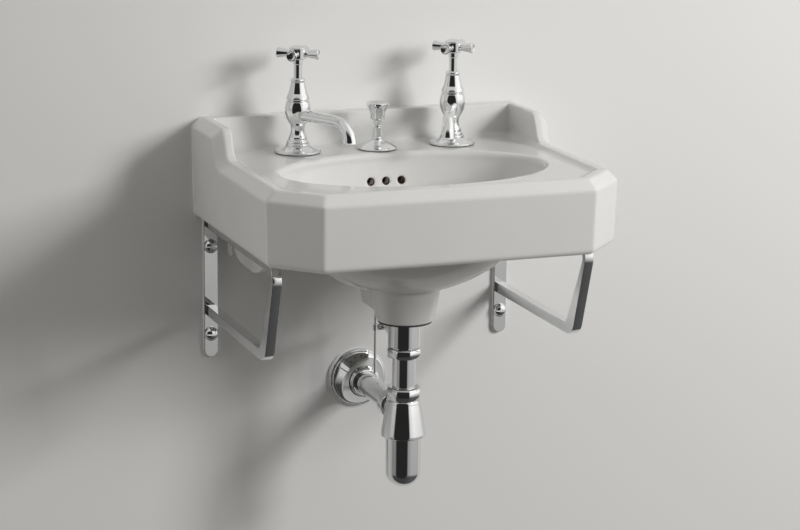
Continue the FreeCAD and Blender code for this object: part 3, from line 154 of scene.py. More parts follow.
def china():
    """Warm white glaze with a slight ripple and a few specks; bare clay in the overflow holes."""
    mat, nt, shader = tree("china", (0.8, 0.79, 0.76), 0, 0.08)
    cloud = spread(nt, noise(nt, 9.0, 3.0), 0.35, 0.65, 0, 1)
    tone = mixed(nt, cloud, GLAZE, GLAZE_DEEP)
    specks = spread(nt, noise(nt, 240.0, 4.0), 0.70, 0.74, 0, 0.35)
    tone = mixed(nt, specks, tone, SPECK)
    bare = overflow_mask(nt)
    tone = mixed(nt, bare, tone, BARE_CLAY)
    nt.links.new(tone, shader.inputs["Base Color"])
    gloss = spread(nt, noise(nt, 30.0, 2.0), 0.3, 0.7, 0.05, 0.12)
    rough = maths(nt, "MAXIMUM", gloss, spread(nt, bare, 0, 1, 0, 0.6))
    nt.links.new(rough, shader.inputs["Roughness"])
    bump(nt, shader, noise(nt, 14.0, 1.5), 0.0016, 0.18)
    return mat


def chrome():
    """Bright plate over slightly uneven metal, with faint wipe marks and water spots."""
    mat, nt, shader = tree("chrome", (0.82, 0.83, 0.84), 1.0, 0.06)
    smear = noise(nt, 34.0, 5.0, 0.6)
    spots = spread(nt, noise(nt, 330.0, 2.0), 0.72, 0.78, 0, 0.10)
    base = spread(nt, smear, 0.35, 0.75, 0.02, 0.06)
    nt.links.new(maths(nt, "ADD", base, spots), shader.inputs["Roughness"])
    tone = mixed(nt, spread(nt, smear, 0.3, 0.7, 0, 1), PLATE_DULL, PLATE_BRIGHT)
    nt.links.new(tone, shader.inputs["Base Color"])
    bump(nt, shader, noise(nt, 40.0, 1.0), 0.0002, 0.05)
    return mat


def brass():
    """Bare brass with darker stains."""
    mat, nt, shader = tree("brass", (0.62, 0.43, 0.18), 1.0, 0.3)
    stain = noise(nt, 60.0, 5.0)
    tone = mixed(nt, spread(nt, stain, 0.35, 0.7, 0, 1), BRASS_BRIGHT, BRASS_STAIN)
    nt.links.new(tone, shader.inputs["Base Color"])
    nt.links.new(spread(nt, stain, 0.3, 0.7, 0.22, 0.45), shader.inputs["Roughness"])
    return mat


def dull(name, light, dark, rough, scale=80.0):
    """A matt material whose tone and roughness vary."""
    mat, nt, shader = tree(name, light, 0, rough)
    grain = noise(nt, scale, 4.0)
    tone = mixed(nt, spread(nt, grain, 0.3, 0.7, 0, 1), light, dark)
    nt.links.new(tone, shader.inputs["Base Color"])
    nt.links.new(spread(nt, grain, 0.3, 0.7, rough - 0.1, rough + 0.1), shader.inputs["Roughness"])
    bump(nt, shader, noise(nt, scale * 6, 2.0), 0.0002, 0.2)
    return mat


CHINA, CHROME, BRASS = china(), chrome(), brass()
RUBBER = dull("rubber", (0.03, 0.03, 0.03), (0.055, 0.053, 0.05), 0.6)
NYLON = dull("nylon", (0.72, 0.71, 0.66), (0.62, 0.6, 0.54), 0.45)
DISC = dull("disc_ceramic", (0.78, 0.77, 0.74), (0.7, 0.69, 0.66), 0.25)
BY_SLOT = {"china": CHINA, "chrome": CHROME, "brass": BRASS, "rubber": RUBBER, "nylon": NYLON,
           "disc_ceramic": DISC}

# Pieces that keep the construction's own mesh get the material of their slot.
for part in frame["record"]["subparts"]:
    for slot in nodes[part["node"]].material_slots:
        slot.material = BY_SLOT[part["material_slot"]]


# ---- mesh helpers ------------------------------------------------------------------------------
SHARP = math.radians(20)             # a corner that turns less than this stays as it is
CORNER_SHARE = 0.45                  # most of a straight that the arc at one end may take up
BRACE_RUN, BRACE_IN = 2.0, 0.25      # straights longer than this get points this far in


def rounded(points, radius, steps=4, closed=False):
    """A 2-D line with its sharp corners turned into short arcs."""
    made = []
    count = len(points)
    for k, here in enumerate(points):
        ends = not closed and k in (0, count - 1)
        here = Vector(here)
        a, b = Vector(points[k - 1]) - here, Vector(points[(k + 1) % count]) - here
        if ends or a.length < 1e-6 or b.length < 1e-6 or math.pi - a.angle(b) < SHARP:
            made.append(tuple(here))
            continue
        half = a.angle(b) / 2
        reach = min(radius / math.tan(half), CORNER_SHARE * a.length, CORNER_SHARE * b.length)
        r = reach * math.tan(half)
        centre = here + (a.normalized() + b.normalized()).normalized() * (r / math.sin(half))
        first = here + a.normalized() * reach - centre
        last = here + b.normalized() * reach - centre
        turn = first.angle(last)
        for j in range(steps + 1):
            share = j / steps
            made.append(tuple(centre + (first * math.sin((1 - share) * turn)
                                        + last * math.sin(share * turn)) / math.sin(turn)))
    return made


def arc(first, through, last, steps=14):
    """Points after the first along a circle through three 2-D points."""
    ax, ay = first
    bx, by = through
    cx, cy = last
    d = 2 * (ax * (by - cy) + bx * (cy - ay) + cx * (ay - by))
    if abs(d) < 1e-9:
        return [last]
    a, b, c = ax * ax + ay * ay, bx * bx + by * by, cx * cx + cy * cy
    x = (a * (by - cy) + b * (cy - ay) + c * (ay - by)) / d
    y = (a * (cx - bx) + b * (ax - cx) + c * (bx - ax)) / d
    r = math.hypot(ax - x, ay - y)
    start, mid, end = (math.atan2(q - y, p - x) for p, q in (first, through, last))
    turn = (end - start) % (2 * math.pi)
    if (mid - start) % (2 * math.pi) > turn:
        turn -= 2 * math.pi
    angles = [start + turn * k / steps for k in range(1, steps + 1)]
    return [(x + r * math.cos(angle), y + r * math.sin(angle)) for angle in angles]


def profile(*steps, soft=0.5):
    """A (radius, height) outline with softened corners, and whether it opens on the axis.

    A step is a point, or the middle and end of an arc from the point before it.
    """
    points = [steps[0]]
    for step in steps[1:]:
        if isinstance(step[0], tuple):
            points += arc(points[-1], *step)
        else:
            points.append(step)
    open_axis = points[0][0] == 0 and points[-1][0] == 0
    return rounded(points, soft, closed=not open_axis), open_axis


def mesh_object(name, verts, faces, mat):
    """A smooth-shaded object from points in millimetres."""
    mesh = bpy.data.meshes.new(name)
    mesh.from_pydata([Vector(v) * MM for v in verts], [], faces)
    mesh.validate()
    made = bpy.data.objects.new(name, mesh)
    bpy.context.collection.objects.link(made)
    if mat is not None:
        mesh.materials.append(mat)
    outward(mesh)
    mesh.shade_smooth()
    return made


def outward(mesh):
    """Turn all faces the right way out."""
    bm = bmesh.new()
    bm.from_mesh(mesh)
    bmesh.ops.recalc_face_normals(bm, faces=bm.faces)
    bm.to_mesh(mesh)
    bm.free()


def braced(points, open_axis):
    """Add a point near both ends of each long straight, which keeps its shading flat."""
    made = []
    pairs = list(zip(points, points[1:])) + ([] if open_axis else [(points[-1], points[0])])
    for here, there in pairs:
        made.append(here)
        run = math.dist(here, there)
        if run > BRACE_RUN:
            for share in (BRACE_IN / run, 1 - BRACE_IN / run):
                made.append(tuple(a + (b - a) * share for a, b in zip(here, there)))
    return made + ([points[-1]] if open_axis else [])


def turned(name, outline, mat, place=None, segments=96):
    """Spin an outline about Z, then put it in its place."""
    points, open_axis = outline
    points = braced(points, open_axis)
    verts, faces, rings = [], [], []
    for r, z in points:
        if r < 1e-6:
            rings.append([len(verts)])
            verts.append(Vector((0, 0, z)))
            continue
        rings.append(list(range(len(verts), len(verts) + segments)))
        for k in range(segments):
            angle = 2 * math.pi * k / segments
            verts.append(Vector((r * math.cos(angle), r * math.sin(angle), z)))
    pairs = list(zip(rings, rings[1:])) + ([] if open_axis else [(rings[-1], rings[0])])
    for low, high in pairs:
        for k in range(segments):
            n = (k + 1) % segments
            if len(low) == 1 and len(high) == 1:
                break
            if len(low) == 1:
                faces.append((low[0], high[n], high[k]))
            elif len(high) == 1:
                faces.append((low[k], low[n], high[0]))
            else:
                faces.append((low[k], low[n], high[n], high[k]))
    place = place or Matrix()
    return mesh_object(name, [place @ v for v in verts], faces, mat)


def stacked(name, loops, mat=None, capped=True):
    """Skin a row of loops that have the same number of points."""
    n = len(loops[0])
    verts = [Vector(p) for loop in loops for p in loop]
    faces = []
    for k in range(len(loops) - 1):
        for j in range(n):
            a, b = k * n + j, k * n + (j + 1) % n
            faces.append((a, b, b + n, a + n))
    if capped:
        faces.append(tuple(reversed(range(n))))
        faces.append(tuple(range((len(loops) - 1) * n, len(loops) * n)))
    return mesh_object(name, verts, faces, mat)


def solved(target, others, operation):
    """Add closed meshes to one, or take them away from it."""
    for other in others:
        cut = target.modifiers.new("cut", "BOOLEAN")
        cut.operation = operation
        cut.solver = "MANIFOLD"
        cut.object = other
        settle(target)
        bpy.data.objects.remove(other, do_unlink=True)
    return target


def settle(obj):
    """Apply an object's modifiers."""
    graph = bpy.context.evaluated_depsgraph_get()
    mesh = bpy.data.meshes.new_from_object(obj.evaluated_get(graph))
    obj.modifiers.clear()
    obj.data = mesh


def joined(name, parts):
    """One object out of several, with the first one's materials."""
    bm = bmesh.new()
    for part in parts:
        bm.from_mesh(part.data)
    mats = list(parts[0].data.materials)
    mesh = bpy.data.meshes.new(name)
    bm.to_mesh(mesh)
    bm.free()
    for mat in mats:
        mesh.materials.append(mat)
    mesh.shade_smooth()
    for part in parts:
        bpy.data.objects.remove(part, do_unlink=True)
    made = bpy.data.objects.new(name, mesh)
    bpy.context.collection.objects.link(made)
    return made


def moved(x=0, y=0, z=0):
    """A shift in millimetres."""
    return Matrix.Translation((x, y, z))


def turn(degrees, axis):
    """A rotation about an axis through the origin."""
    return Matrix.Rotation(math.radians(degrees), 4, axis)


# ---- basin -------------------------------------------------------------------------------------
WIDTH, DEPTH = 480.0, 385.0
CORNER, CORNER_ROUND = 57.0, 5.0                   # front corners' cut along each side
APRON_H, APRON_ROUND, DRAFT = 78.0, 7.5, 2.2
DECK, RIM, BACK_TOP = 8.0, 13.0, 52.0              # heights
RIM_RUN, RIM_IN, RIM_SOFT = 13.0, 24.0, 4.0        # sloping band, crest's inner edge, rounding
SIDE_WALL, FRONT_WALL, REAR_WALL, DECK_T = 35.0, 16.0, 14.0, 14.0
CAVITY_FOOT = -90.0                                # runs out below the apron
CHEEK_SLOPE = math.radians(65)
CHEEK_END, CHEEK_R_TOP, CHEEK_R_FOOT = 95.0, 17.0, 18.0
CHEEK_BLOCK, CHEEK_BASE = 200.0, -1.0              # the block's front end and foot, in the basin
BOWL_Y, OUTLET_Y, BOWL_DEPTH, BOWL_WALL = 214.0, 187.0, 154.0, 11.0
BOWL_HALF_X, BOWL_HALF_Y, OUTLET_SEAT_R = 181.0, 113.0, 35.0
BOWL_FALL_X, BOWL_FALL_Y, BOWL_FULL = 1.8, 1.2, 1.69     # exponents of the bowl's section
BOWL_ROLL, ROLL_INSET = 6.0, 0.2                   # rolled edge's radius, and how far it is drawn in
FLOOR = DECK - BOWL_DEPTH
COLLAR_R, COLLAR_TOP_R, COLLAR_FOOT = 38.5, 46.0, -203.5
OUTLET_HOLE_R, OUTLET_RECESS_R = 22.5, 33.0
DUCT_HALF, DUCT_WALL, DUCT_FOOT, DUCT_ROUND = 44.0, 7.0, -188.0, 8.0
# The rear body under the deck: its side, foot and top, its sides' reach, and their cut corner.
REAR_HALF, REAR_FOOT, REAR_TOP = 189.0, -143.0, DECK - 6
REAR_REACH, REAR_LOW, REAR_CUT_R, REAR_SKIN = 200.0, 173.0, 90.0, 11.0
TAP_HOLE_R, KNOB_HOLE_R = 15.0, 8.5
WALL_BOLT_R, WALL_BOLT_X, WALL_BOLT_Z = 7.0, 140.0, -46.0
DECK_CUT = (-8, 9)                                 # heights of the cuts through the deck
VOXEL, GLAZE_PASSES = 1.5, 7                       # even mesh, then the smoothing of its edges
# The hollow over the deck, from the deck up: in from the sides, height, in from the wall.
POCKET = ((37, DECK, 39), (33, DECK + 0.7, 35), (29, DECK + 2.2, 32), (25, RIM - 0.6, 30),
          (24, RIM + 1.5, 29), (24, BACK_TOP - 3, 22), (24, BACK_TOP + 2, 21))


def plan(inset, z, back=0.0, front=None, soft=CORNER_ROUND):
    """The basin's outline with its cut corners at one height, drawn in by an inset."""
    front = inset if front is None else front
    x = WIDTH / 2 - inset
    y = -DEPTH + front
    cut = WIDTH / 2 + DEPTH - CORNER - math.sqrt(2) * (inset + front) / 2
    line = [(x, -back), (x, x - cut), (cut + y, y), (-cut - y, y), (-x, x - cut), (-x, -back)]
    return [(px, py, z) for px, py in rounded(line, soft, 6)]


def cheek(inset, x):
    """The raised side's outline at one x, drawn in by an inset."""
    sin, cos = math.sin(CHEEK_SLOPE), math.cos(CHEEK_SLOPE)
    radii = CHEEK_R_TOP + CHEEK_R_FOOT
    slant = (BACK_TOP - RIM - radii * (1 - cos)) / sin
    foot = -CHEEK_END - radii * sin - slant * cos
    angles = [CHEEK_SLOPE * k / 10 for k in range(11)]
    line = [(0, CHEEK_BASE), (0, BACK_TOP - inset), (-CHEEK_END, BACK_TOP - inset)]
    r, centre = CHEEK_R_TOP - inset, BACK_TOP - CHEEK_R_TOP
    line += [(-CHEEK_END - r * math.sin(angle), centre + r * math.cos(angle))
             for angle in angles[1:]]
    r, centre = CHEEK_R_FOOT + inset, RIM + CHEEK_R_FOOT
    line += [(foot + r * math.sin(angle), centre - r * math.cos(angle))
             for angle in reversed(angles)]
    line += [(-CHEEK_BLOCK, RIM - inset), (-CHEEK_BLOCK, CHEEK_BASE)]
    return [(x, y, z) for y, z in line]


def bowl_loop(share, wall, flare=0.0, z=None, n=128):
    """The bowl's section at a share of its depth, larger by a wall and a flare."""
    seat = OUTLET_SEAT_R
    fall_x = (1 - share ** BOWL_FALL_X) ** (1 / BOWL_FULL)
    fall_y = (1 - share ** BOWL_FALL_Y) ** (1 / BOWL_FULL)
    hx = seat + wall + (BOWL_HALF_X - seat) * fall_x + flare
    hy = seat + wall + (BOWL_HALF_Y - seat) * fall_y + flare
    y = -BOWL_Y + (BOWL_Y - OUTLET_Y) * share ** 4
    top = DECK - wall / 2
    z = top + (FLOOR - wall - top) * share if z is None else z
    angles = [2 * math.pi * k / n for k in range(n)]
    return [(hx * math.cos(angle), y + hy * math.sin(angle), z) for angle in angles]


def bowl_loops(wall):
    """The bowl from rim to floor: its outside for a wall, or its hollow with the rolled edge."""
    shares = [k / 40 for k in range(37)] + [0.925, 0.95, 0.97, 0.985, 0.995, 1.0]
    loops = []
    if wall == 0:
        loops = [bowl_loop(0, 0, BOWL_ROLL + 1, DECK + 4)]
        shares = shares[3:]
        for k in range(7):
            angle = math.radians(15 * k)
            loops.append(bowl_loop(0.012 * k, 0, BOWL_ROLL * (1 - math.sin(angle)) - ROLL_INSET,
                                   DECK - BOWL_ROLL * (1 - math.cos(angle))))
    return loops + [bowl_loop(s, wall) for s in shares]


def duct_loops(skin):
    """The overflow duct's outside, or its hollow when a skin is given."""
    half = DUCT_HALF - skin
    # Height, then back and front as distances from the wall.
    rows = ((-6 - skin * 1.2, 89, 111), (-60, 84, 113), (-115, 99, 129),
            (DUCT_FOOT + 3 * skin, 133, 187))
    loops = []
    for z, back, front in rows:
        near = front if skin == 0 else min(front, back + 2 * skin)
        low, high = -(near + skin * 0.3), -(back + skin)
        outline = [(-half, high), (half, high), (half, low), (-half, low)]
        loops.append([(x, y, z) for x, y in rounded(outline, DUCT_ROUND, 5, True)])
    return loops


def cylinder(r, low, high, place, segments=48):
    """A plain cylinder to cut with."""
    return turned("bore", ([(0, low), (r, low), (r, high), (0, high)], True), None, place, segments)


def casting():
    """The basin's solid body before its hollow and its holes."""
    foot = []
    for degrees in range(0, 91, 10):
        angle = math.radians(degrees)
        foot.append((DRAFT + APRON_ROUND * (1 - math.sin(angle)),
                     -APRON_H - APRON_ROUND * math.cos(angle)))
    side = rounded([(DRAFT, -APRON_H), (0, 0), (RIM_RUN, RIM), (RIM_IN, RIM)], RIM_SOFT, 6)
    body = stacked("basin_skin", [plan(i, z) for i, z in foot[:-1] + side])
    flank = WIDTH / 2
    edge = rounded([(flank, RIM_RUN + 1), (flank, RIM_RUN), (flank - RIM_RUN, 0),
                    (flank - RIM_IN, 0)], RIM_SOFT, 6)[1:]
    loops = [cheek(i, -x) for x, i in edge] + [cheek(i, x) for x, i in reversed(edge)]
    block = stacked("cheeks", loops)
    cavity = stacked("cavity", [plan(SIDE_WALL, z, REAR_WALL, FRONT_WALL)
                                for z in (CAVITY_FOOT, DECK - DECK_T)])
    outline = profile((0, COLLAR_FOOT), (COLLAR_R, COLLAR_FOOT), (COLLAR_TOP_R, FLOOR - 22),
                      (COLLAR_TOP_R + 2, FLOOR + 18), (0, FLOOR + 18), soft=2.0)
    collar = turned("collar", outline, None, moved(0, -OUTLET_Y))
    bowl = stacked("bowl", bowl_loops(BOWL_WALL))
    duct = stacked("duct", duct_loops(0))
    plate = ((-REAR_HALF, -REAR_WALL), (REAR_HALF, -REAR_WALL), (REAR_HALF, 0), (-REAR_HALF, 0))
    panel = stacked("panel", [[(x, y, z) for x, y in plate] for z in (REAR_FOOT, REAR_TOP)])
    line = rounded([(0, REAR_TOP), (0, REAR_FOOT), (-REAR_LOW, REAR_FOOT), (-REAR_REACH, REAR_TOP)],
                   REAR_CUT_R, 16, True)
    skirts = []
    for low, high in ((-REAR_HALF, REAR_SKIN - REAR_HALF), (REAR_HALF - REAR_SKIN, REAR_HALF)):
        skirts.append(stacked("skirt", [[(x, y, z) for y, z in line] for x in (low, high)]))
    solved(body, [block], "UNION")
    solved(body, [cavity], "DIFFERENCE")
    return solved(body, [bowl, collar, duct, panel] + skirts, "UNION")


def holes():
    """What is cut out of the casting: hollow over the deck, bowl, duct and bores."""
    outlet = moved(0, -OUTLET_Y)
    cuts = [stacked("pocket", [plan(i, z, back, soft=7.0) for i, z, back in POCKET]),
            stacked("bowl", bowl_loops(0)), stacked("duct", duct_loops(DUCT_WALL)),
            cylinder(OUTLET_HOLE_R, COLLAR_FOOT - 1, FLOOR + 1, outlet),
            cylinder(OUTLET_RECESS_R, FLOOR - 2, FLOOR + 12, outlet)]
    cuts += [cylinder(TAP_HOLE_R, *DECK_CUT, moved(s * TAP_X, -TAP_Y)) for s in (-1, 1)]
    cuts += [cylinder(KNOB_HOLE_R, *DECK_CUT, moved(0, -KNOB_Y))]
    for s in (-1, 1):
        place = moved(s * WALL_BOLT_X, 0, WALL_BOLT_Z) @ turn(-90, "X")
        cuts.append(cylinder(WALL_BOLT_R, -REAR_WALL - 1, 1, place))
    for k in (-1, 0, 1):
        place = moved(k * HOLE_PITCH, 0, HOLE_Z) @ turn(-90, "X")
        cuts.append(cylinder(HOLE_R, HOLE_FRONT, HOLE_BACK, place, 32))
    return cuts


def basin():
    """The glazed basin: cut, remeshed evenly and smoothed as glaze smooths an edge."""
    body = solved(casting(), holes(), "DIFFERENCE")
    remesh = body.modifiers.new("even", "REMESH")
    remesh.mode = "VOXEL"
    remesh.voxel_size = VOXEL * MM
    smooth = body.modifiers.new("glaze", "SMOOTH")
    smooth.factor = 0.5
    smooth.iterations = GLAZE_PASSES
    settle(body)
    body.data.materials.clear()
    body.data.materials.append(CHINA)
    body.data.shade_smooth()
    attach(body, "basin_unit")
    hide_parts("basin")


def belongs(piece, body, node):
    """Hand a finished piece to the frame, in place of one of its nodes."""
    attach(piece, body)
    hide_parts(node)


# ---- brackets ----------------------------------------------------------------------------------
UPPER_ARM, LOWER_ARM, ARM_BACK = -94.0, -217.5, -6.0     # arms' middle lines and wall end
LEG_TOP_Y, LEG_FOOT_Y, BEND_R = 304.0, 255.5, 18.0       # the sloping front, and its bends
BAR_X, BAR_HALF_W, BAR_HALF_T = 215.5, 6.5, 7.0          # middle of the bar, half its sides
BAR_EDGE, BAR_ROUND = 1.5, 1.0                           # stretch and radius of its soft edges


def brackets():
    """Both brackets' bars, each skinned across its width from one closed side view."""
    half, outside, inside = BAR_HALF_T, BEND_R + BAR_HALF_T, BEND_R - BAR_HALF_T
    slope = math.atan2(LEG_TOP_Y - LEG_FOOT_Y, UPPER_ARM - LOWER_ARM)
    upper = half * (1 + math.sin(slope)) / math.cos(slope)
    lower = half * (1 - math.sin(slope)) / math.cos(slope)
    side_view = corners([
        (ARM_BACK, UPPER_ARM + half, 0), (-LEG_TOP_Y - lower, UPPER_ARM + half, outside),
        (-LEG_FOOT_Y - upper, LOWER_ARM - half, outside), (ARM_BACK, LOWER_ARM - half, 0),
        (ARM_BACK, LOWER_ARM + half, 0), (-LEG_FOOT_Y + upper, LOWER_ARM + half, inside),
        (-LEG_TOP_Y + lower, UPPER_ARM - half, inside), (ARM_BACK, UPPER_ARM - half, 0)])
    edge = rounded([(-BAR_HALF_W, BAR_EDGE), (-BAR_HALF_W, 0), (BAR_HALF_W, 0),
                    (BAR_HALF_W, BAR_EDGE)], BAR_ROUND, 4)
    for side, name in ((-1, "left"), (1, "right")):
        loops = [[(side * BAR_X + x, y, z) for y, z in inward(side_view, inset)]
                 for x, inset in edge]
        bar = stacked(name + "_bar", loops, CHROME)
        belongs(bar, "basin_unit", name + "_bracket_bar")


def corners(points, steps=16):
    """A closed 2-D line from points that each bring the radius of their corner."""
    line = [Vector(point[:2]) for point in points]
    made = []
    for k, (y, z, radius) in enumerate(points):
        if radius == 0:
            made.append((y, z))
            continue
        here = line[k]
        a, b = line[k - 1] - here, line[(k + 1) % len(line)] - here
        reach = radius / math.tan(a.angle(b) / 2)
        near = [tuple(here + side.normalized() * reach * 3) for side in (a, b)]
        made += rounded([near[0], (y, z), near[1]], radius, steps)[1:-1]
    return made


def inward(line, inset):
    """Draw a closed 2-D line in by a small amount."""
    area = sum(a[0] * b[1] - b[0] * a[1] for a, b in zip(line, line[1:] + line[:1]))
    sign = 1 if area > 0 else -1
    made = []
    for k, here in enumerate(line):
        before, here, after = Vector(line[k - 1]), Vector(here), Vector(line[(k + 1) % len(line)])
        along = ((here - before).normalized() + (after - here).normalized()).normalized()
        out = Vector((along.y, -along.x)) * sign
        made.append(tuple(here - out * inset))
    return made


# ---- taps --------------------------------------------------------------------------------------
# Side views are steps for profile(), as radii and heights above the tap's seat.
TAP_BODY = ((0, -70), (10.48, -70), (10.48, -31), (9.6, -31), (9.6, -27.5), (10.48, -27.5),
            (10.48, 0), (31.5, 0), (31.5, 1.8), ((31.1, 2.3), (30.3, 2.7)),
            ((22.05, 4.8), (16.4, 8.2)), (16.4, 9.4), ((16.0, 11.2), (14.8, 12.0)), (14.8, 13.0),
            ((14.6, 15.2), (13.0, 16.0)), (12.6, 17.0), (12.6, 18.2), ((12.4, 20.0), (11.0, 22.4)),
            ((9.2, 29.0), (10.6, 37.0)), ((15.05, 45.0), (17.5, 54.5)),
            ((17.15, 62.5), (15.5, 68.8)), (14.2, 69.4), (14.2, 71.0), (0, 71.0))
BONNET = ((12.9, 71), (14.8, 71), (16, 72.4), ((14.4, 76.5), (12.6, 79.6)), (9.3, 94.5),
          (7.9, 94.5), (7.9, 91.5), (11.0, 79.2), (12.9, 76))
GLAND = ((7.9, 94.5), (8.6, 94.5), ((10.0, 97.0), (8.8, 99.2)), (7.4, 100), (5.7, 100), (5.7, 96.1),
         (7.9, 96.1))
STEM = ((0, 96.5), (5.4, 96.5), (5.4, 118.2), (6.4, 118.8), (6.4, 125.2), (10.6, 125.8),
        (11.4, 126.6), (11.4, 139.0), (10.6, 139.8), (8.0, 139.8), (8.0, 136.8), (0, 136.8))
ARM_H = 132.8
ARM = ((0, 0), (4.9, 0), (4.9, 14.0), (7.3, 28.2), (6.6, 29.0), (5.7, 29.0),
       ((3.04, 28.0), (0, 27.8)))
CAP = ((0, 136.8), (7.95, 136.8), (7.95, 139.8), (12.2, 139.8), (12.2, 140.6),
       ((7.56, 142.84), (0, 144.0)))
HANDLE_TURNS = ((-1, "hot", 8.5), (1, "cold", 0.0))      # each cross's own small turn
SPOUT_H, SPOUT_START, SPOUT_RUN, SPOUT_BEND_R = 50.8, 10.5, 73.0, 27.0
SPOUT_ROOT_R, SPOUT_THINS = 8.6, 1.4                     # along its level part
SPOUT_R, SPOUT_SWELLS = 7.2, 2.2                         # along its bend
# The mouth's rim and bore: drop below the bend's end, and radius.
MOUTH = ((-0.6, 9.4), (-0.1, 9.2), (0.0, 8.8), (0.0, 7.6), (-0.3, 7.3), (-3.0, 7.2), (-3.2, 6.8),
         (-3.2, 5.0), (-3.6, 4.8), (-14.0, 4.8))


def tap_place(side, spun=SPOUT_TURN):
    """A tap's seat on the deck; the right one is the left one's mirror image."""
    place = moved(side * TAP_X, -TAP_Y, SEAT)
    if side > 0:
        place = place @ Matrix.Scale(-1, 4, (1, 0, 0))
    return place @ turn(spun, "Z")


def circle(centre, along, r, n=64):
    """A ring of points around a line in the plane X = 0."""
    side = Vector((1, 0, 0))
    other = along.normalized().cross(side)
    angles = [2 * math.pi * k / n for k in range(n)]
    return [centre + side * r * math.cos(angle) + other * r * math.sin(angle) for angle in angles]


def spout_loops():
    """The spout's rings: level and thinner, bent down and wider, then the mouth's rim and bore."""
    height, run, bend = SPOUT_H, SPOUT_RUN, SPOUT_BEND_R
    loops = []
    for k in range(21):
        share = k / 20
        r = SPOUT_ROOT_R - SPOUT_THINS * min(1.0, share * 1.3)
        centre = Vector((0, -SPOUT_START - share * (run - SPOUT_START), height))
        loops.append(circle(centre, Vector((0, -1, 0)), r))
    for k in range(1, 19):
        angle = math.radians(5 * k)
        r = SPOUT_R + SPOUT_SWELLS * (k / 18) ** 2
        centre = Vector((0, -run - bend * math.sin(angle), height - bend * (1 - math.cos(angle))))
        loops.append(circle(centre, Vector((0, -math.cos(angle), -math.sin(angle))), r))
    mouth = Vector((0, -run - bend, height - bend))
    down = Vector((0, 0, -1))
    for drop, r in MOUTH:
        loops.append(circle(mouth + down * drop, down, r))
    return loops


def taps():
    """Both taps: body with spout, bonnet, gland ring, cross handle and cap."""
    for side, name, own_turn in HANDLE_TURNS:
        place = tap_place(side)
        body = turned("body", profile(*TAP_BODY, soft=0.4), CHROME, place, 128)
        spout = stacked("spout", [[place @ p for p in loop] for loop in spout_loops()], CHROME)
        belongs(joined(name + "_tap", [body, spout]), "basin_unit", name + "_body")
        for made, outline, node in (("_cover", BONNET, "_bonnet"), ("_ring", GLAND, "_gland")):
            piece = turned(name + made, profile(*outline, soft=0.4), CHROME, place)
            belongs(piece, "basin_unit", name + node)
        straight = tap_place(side, own_turn)
        pieces = [turned("stem", profile(*STEM, soft=0.5), CHROME, straight)]
        for k in range(4):
            arm_place = straight @ moved(0, 0, ARM_H) @ turn(45 + 90 * k, "Z") @ turn(90, "Y")
            pieces.append(turned("arm", profile(*ARM, soft=0.5), CHROME, arm_place, 64))
        belongs(joined(name + "_cross", pieces), name + "_handle", name + "_handle")
        cap = turned(name + "_cap", profile(*CAP, soft=0.5), CHROME, straight, 64)
        belongs(cap, name + "_handle", name + "_index_cap")


# ---- pop-up waste and trap ---------------------------------------------------------------------
# Side views as for the taps, with heights above the basin's origin.
GUIDE = ((2.05, -34), (7.9, -34), (7.9, 9), (26.9, 9), (26.9, 10.4), ((19.37, 15.0), (10.76, 18.4)),
         ((8.2, 20.4), (7.4, 23.5)), (6.6, 25), (6.6, 38), (5.6, 39), (2.05, 39))
KNOB = ((2.0, 40), (6.4, 40), (5.4, 41), (5.4, 47.1), ((8.1, 48.5), (9.6, 50.3)),
        ((11.5, 61.15), (15.5, 67.9)), (15.5, 70.3), ((15.1, 71.2), (14.3, 71.5)), (13.3, 71.5),
        ((6.98, 70.3), (0, 69.9)), (0, 52), (2.0, 52))
FLANGE = ((18.4, -219.5), (20.95, -219.5), (20.95, -146), (32, -146), (32, -145.2), (30, -143),
          ((26, -143.9), (22.4, -145)), (18.4, -145))
BODY = ((21.05, -205.5), (22.4, -205.5), (22.4, -239.5), (19.6, -239.5), (19.6, -249.5),
        (14.6, -249.5), (14.6, -220), (21.05, -220))
TUBE = ((14.6, -393.5), (16, -393.5), (16, -253.1), (19.3, -253.1), (19.3, -251.5), (14.6, -251.5))
BELL = ((24.3, -364.5), (29.8, -364.5), (30.6, -363.7), (30.6, -360.5),
        ((27.2, -340.5), (22.9, -318)), ((22.6, -316), (21.8, -314)), (20.6, -314), (20.6, -303.5),
        (16.3, -303.5), (16.3, -316.5), (21.8, -346.5), (24.3, -350.5))
CUP_R, CUP_WALL, CUP_RIM, WAIST, CUP_FOOT = 24.2, 2.2, -352.5, -415.0, -436.5
NUT_BORE, NUT_ROUND, NUT_STRETCH = 16.2, 3.0, 1.035      # sharp corners reach out, then are rounded
NUT_EDGE, NUT_TAPER = (0.3, 1.2), (-0.4, 0.1)            # depths of the worn edge, past the flats
NUTS = (("inlet", 23.7, -255, -241), ("slip", 23.5, -313.5, -296))     # corner radius, foot, top
PIPE_Z, PORT_Z = -332.5, -231.5          # outlet pipe's middle line, ball rod's level
ROD_ASIDE = 10.0                         # the ball rod passes this far beside the lift rod
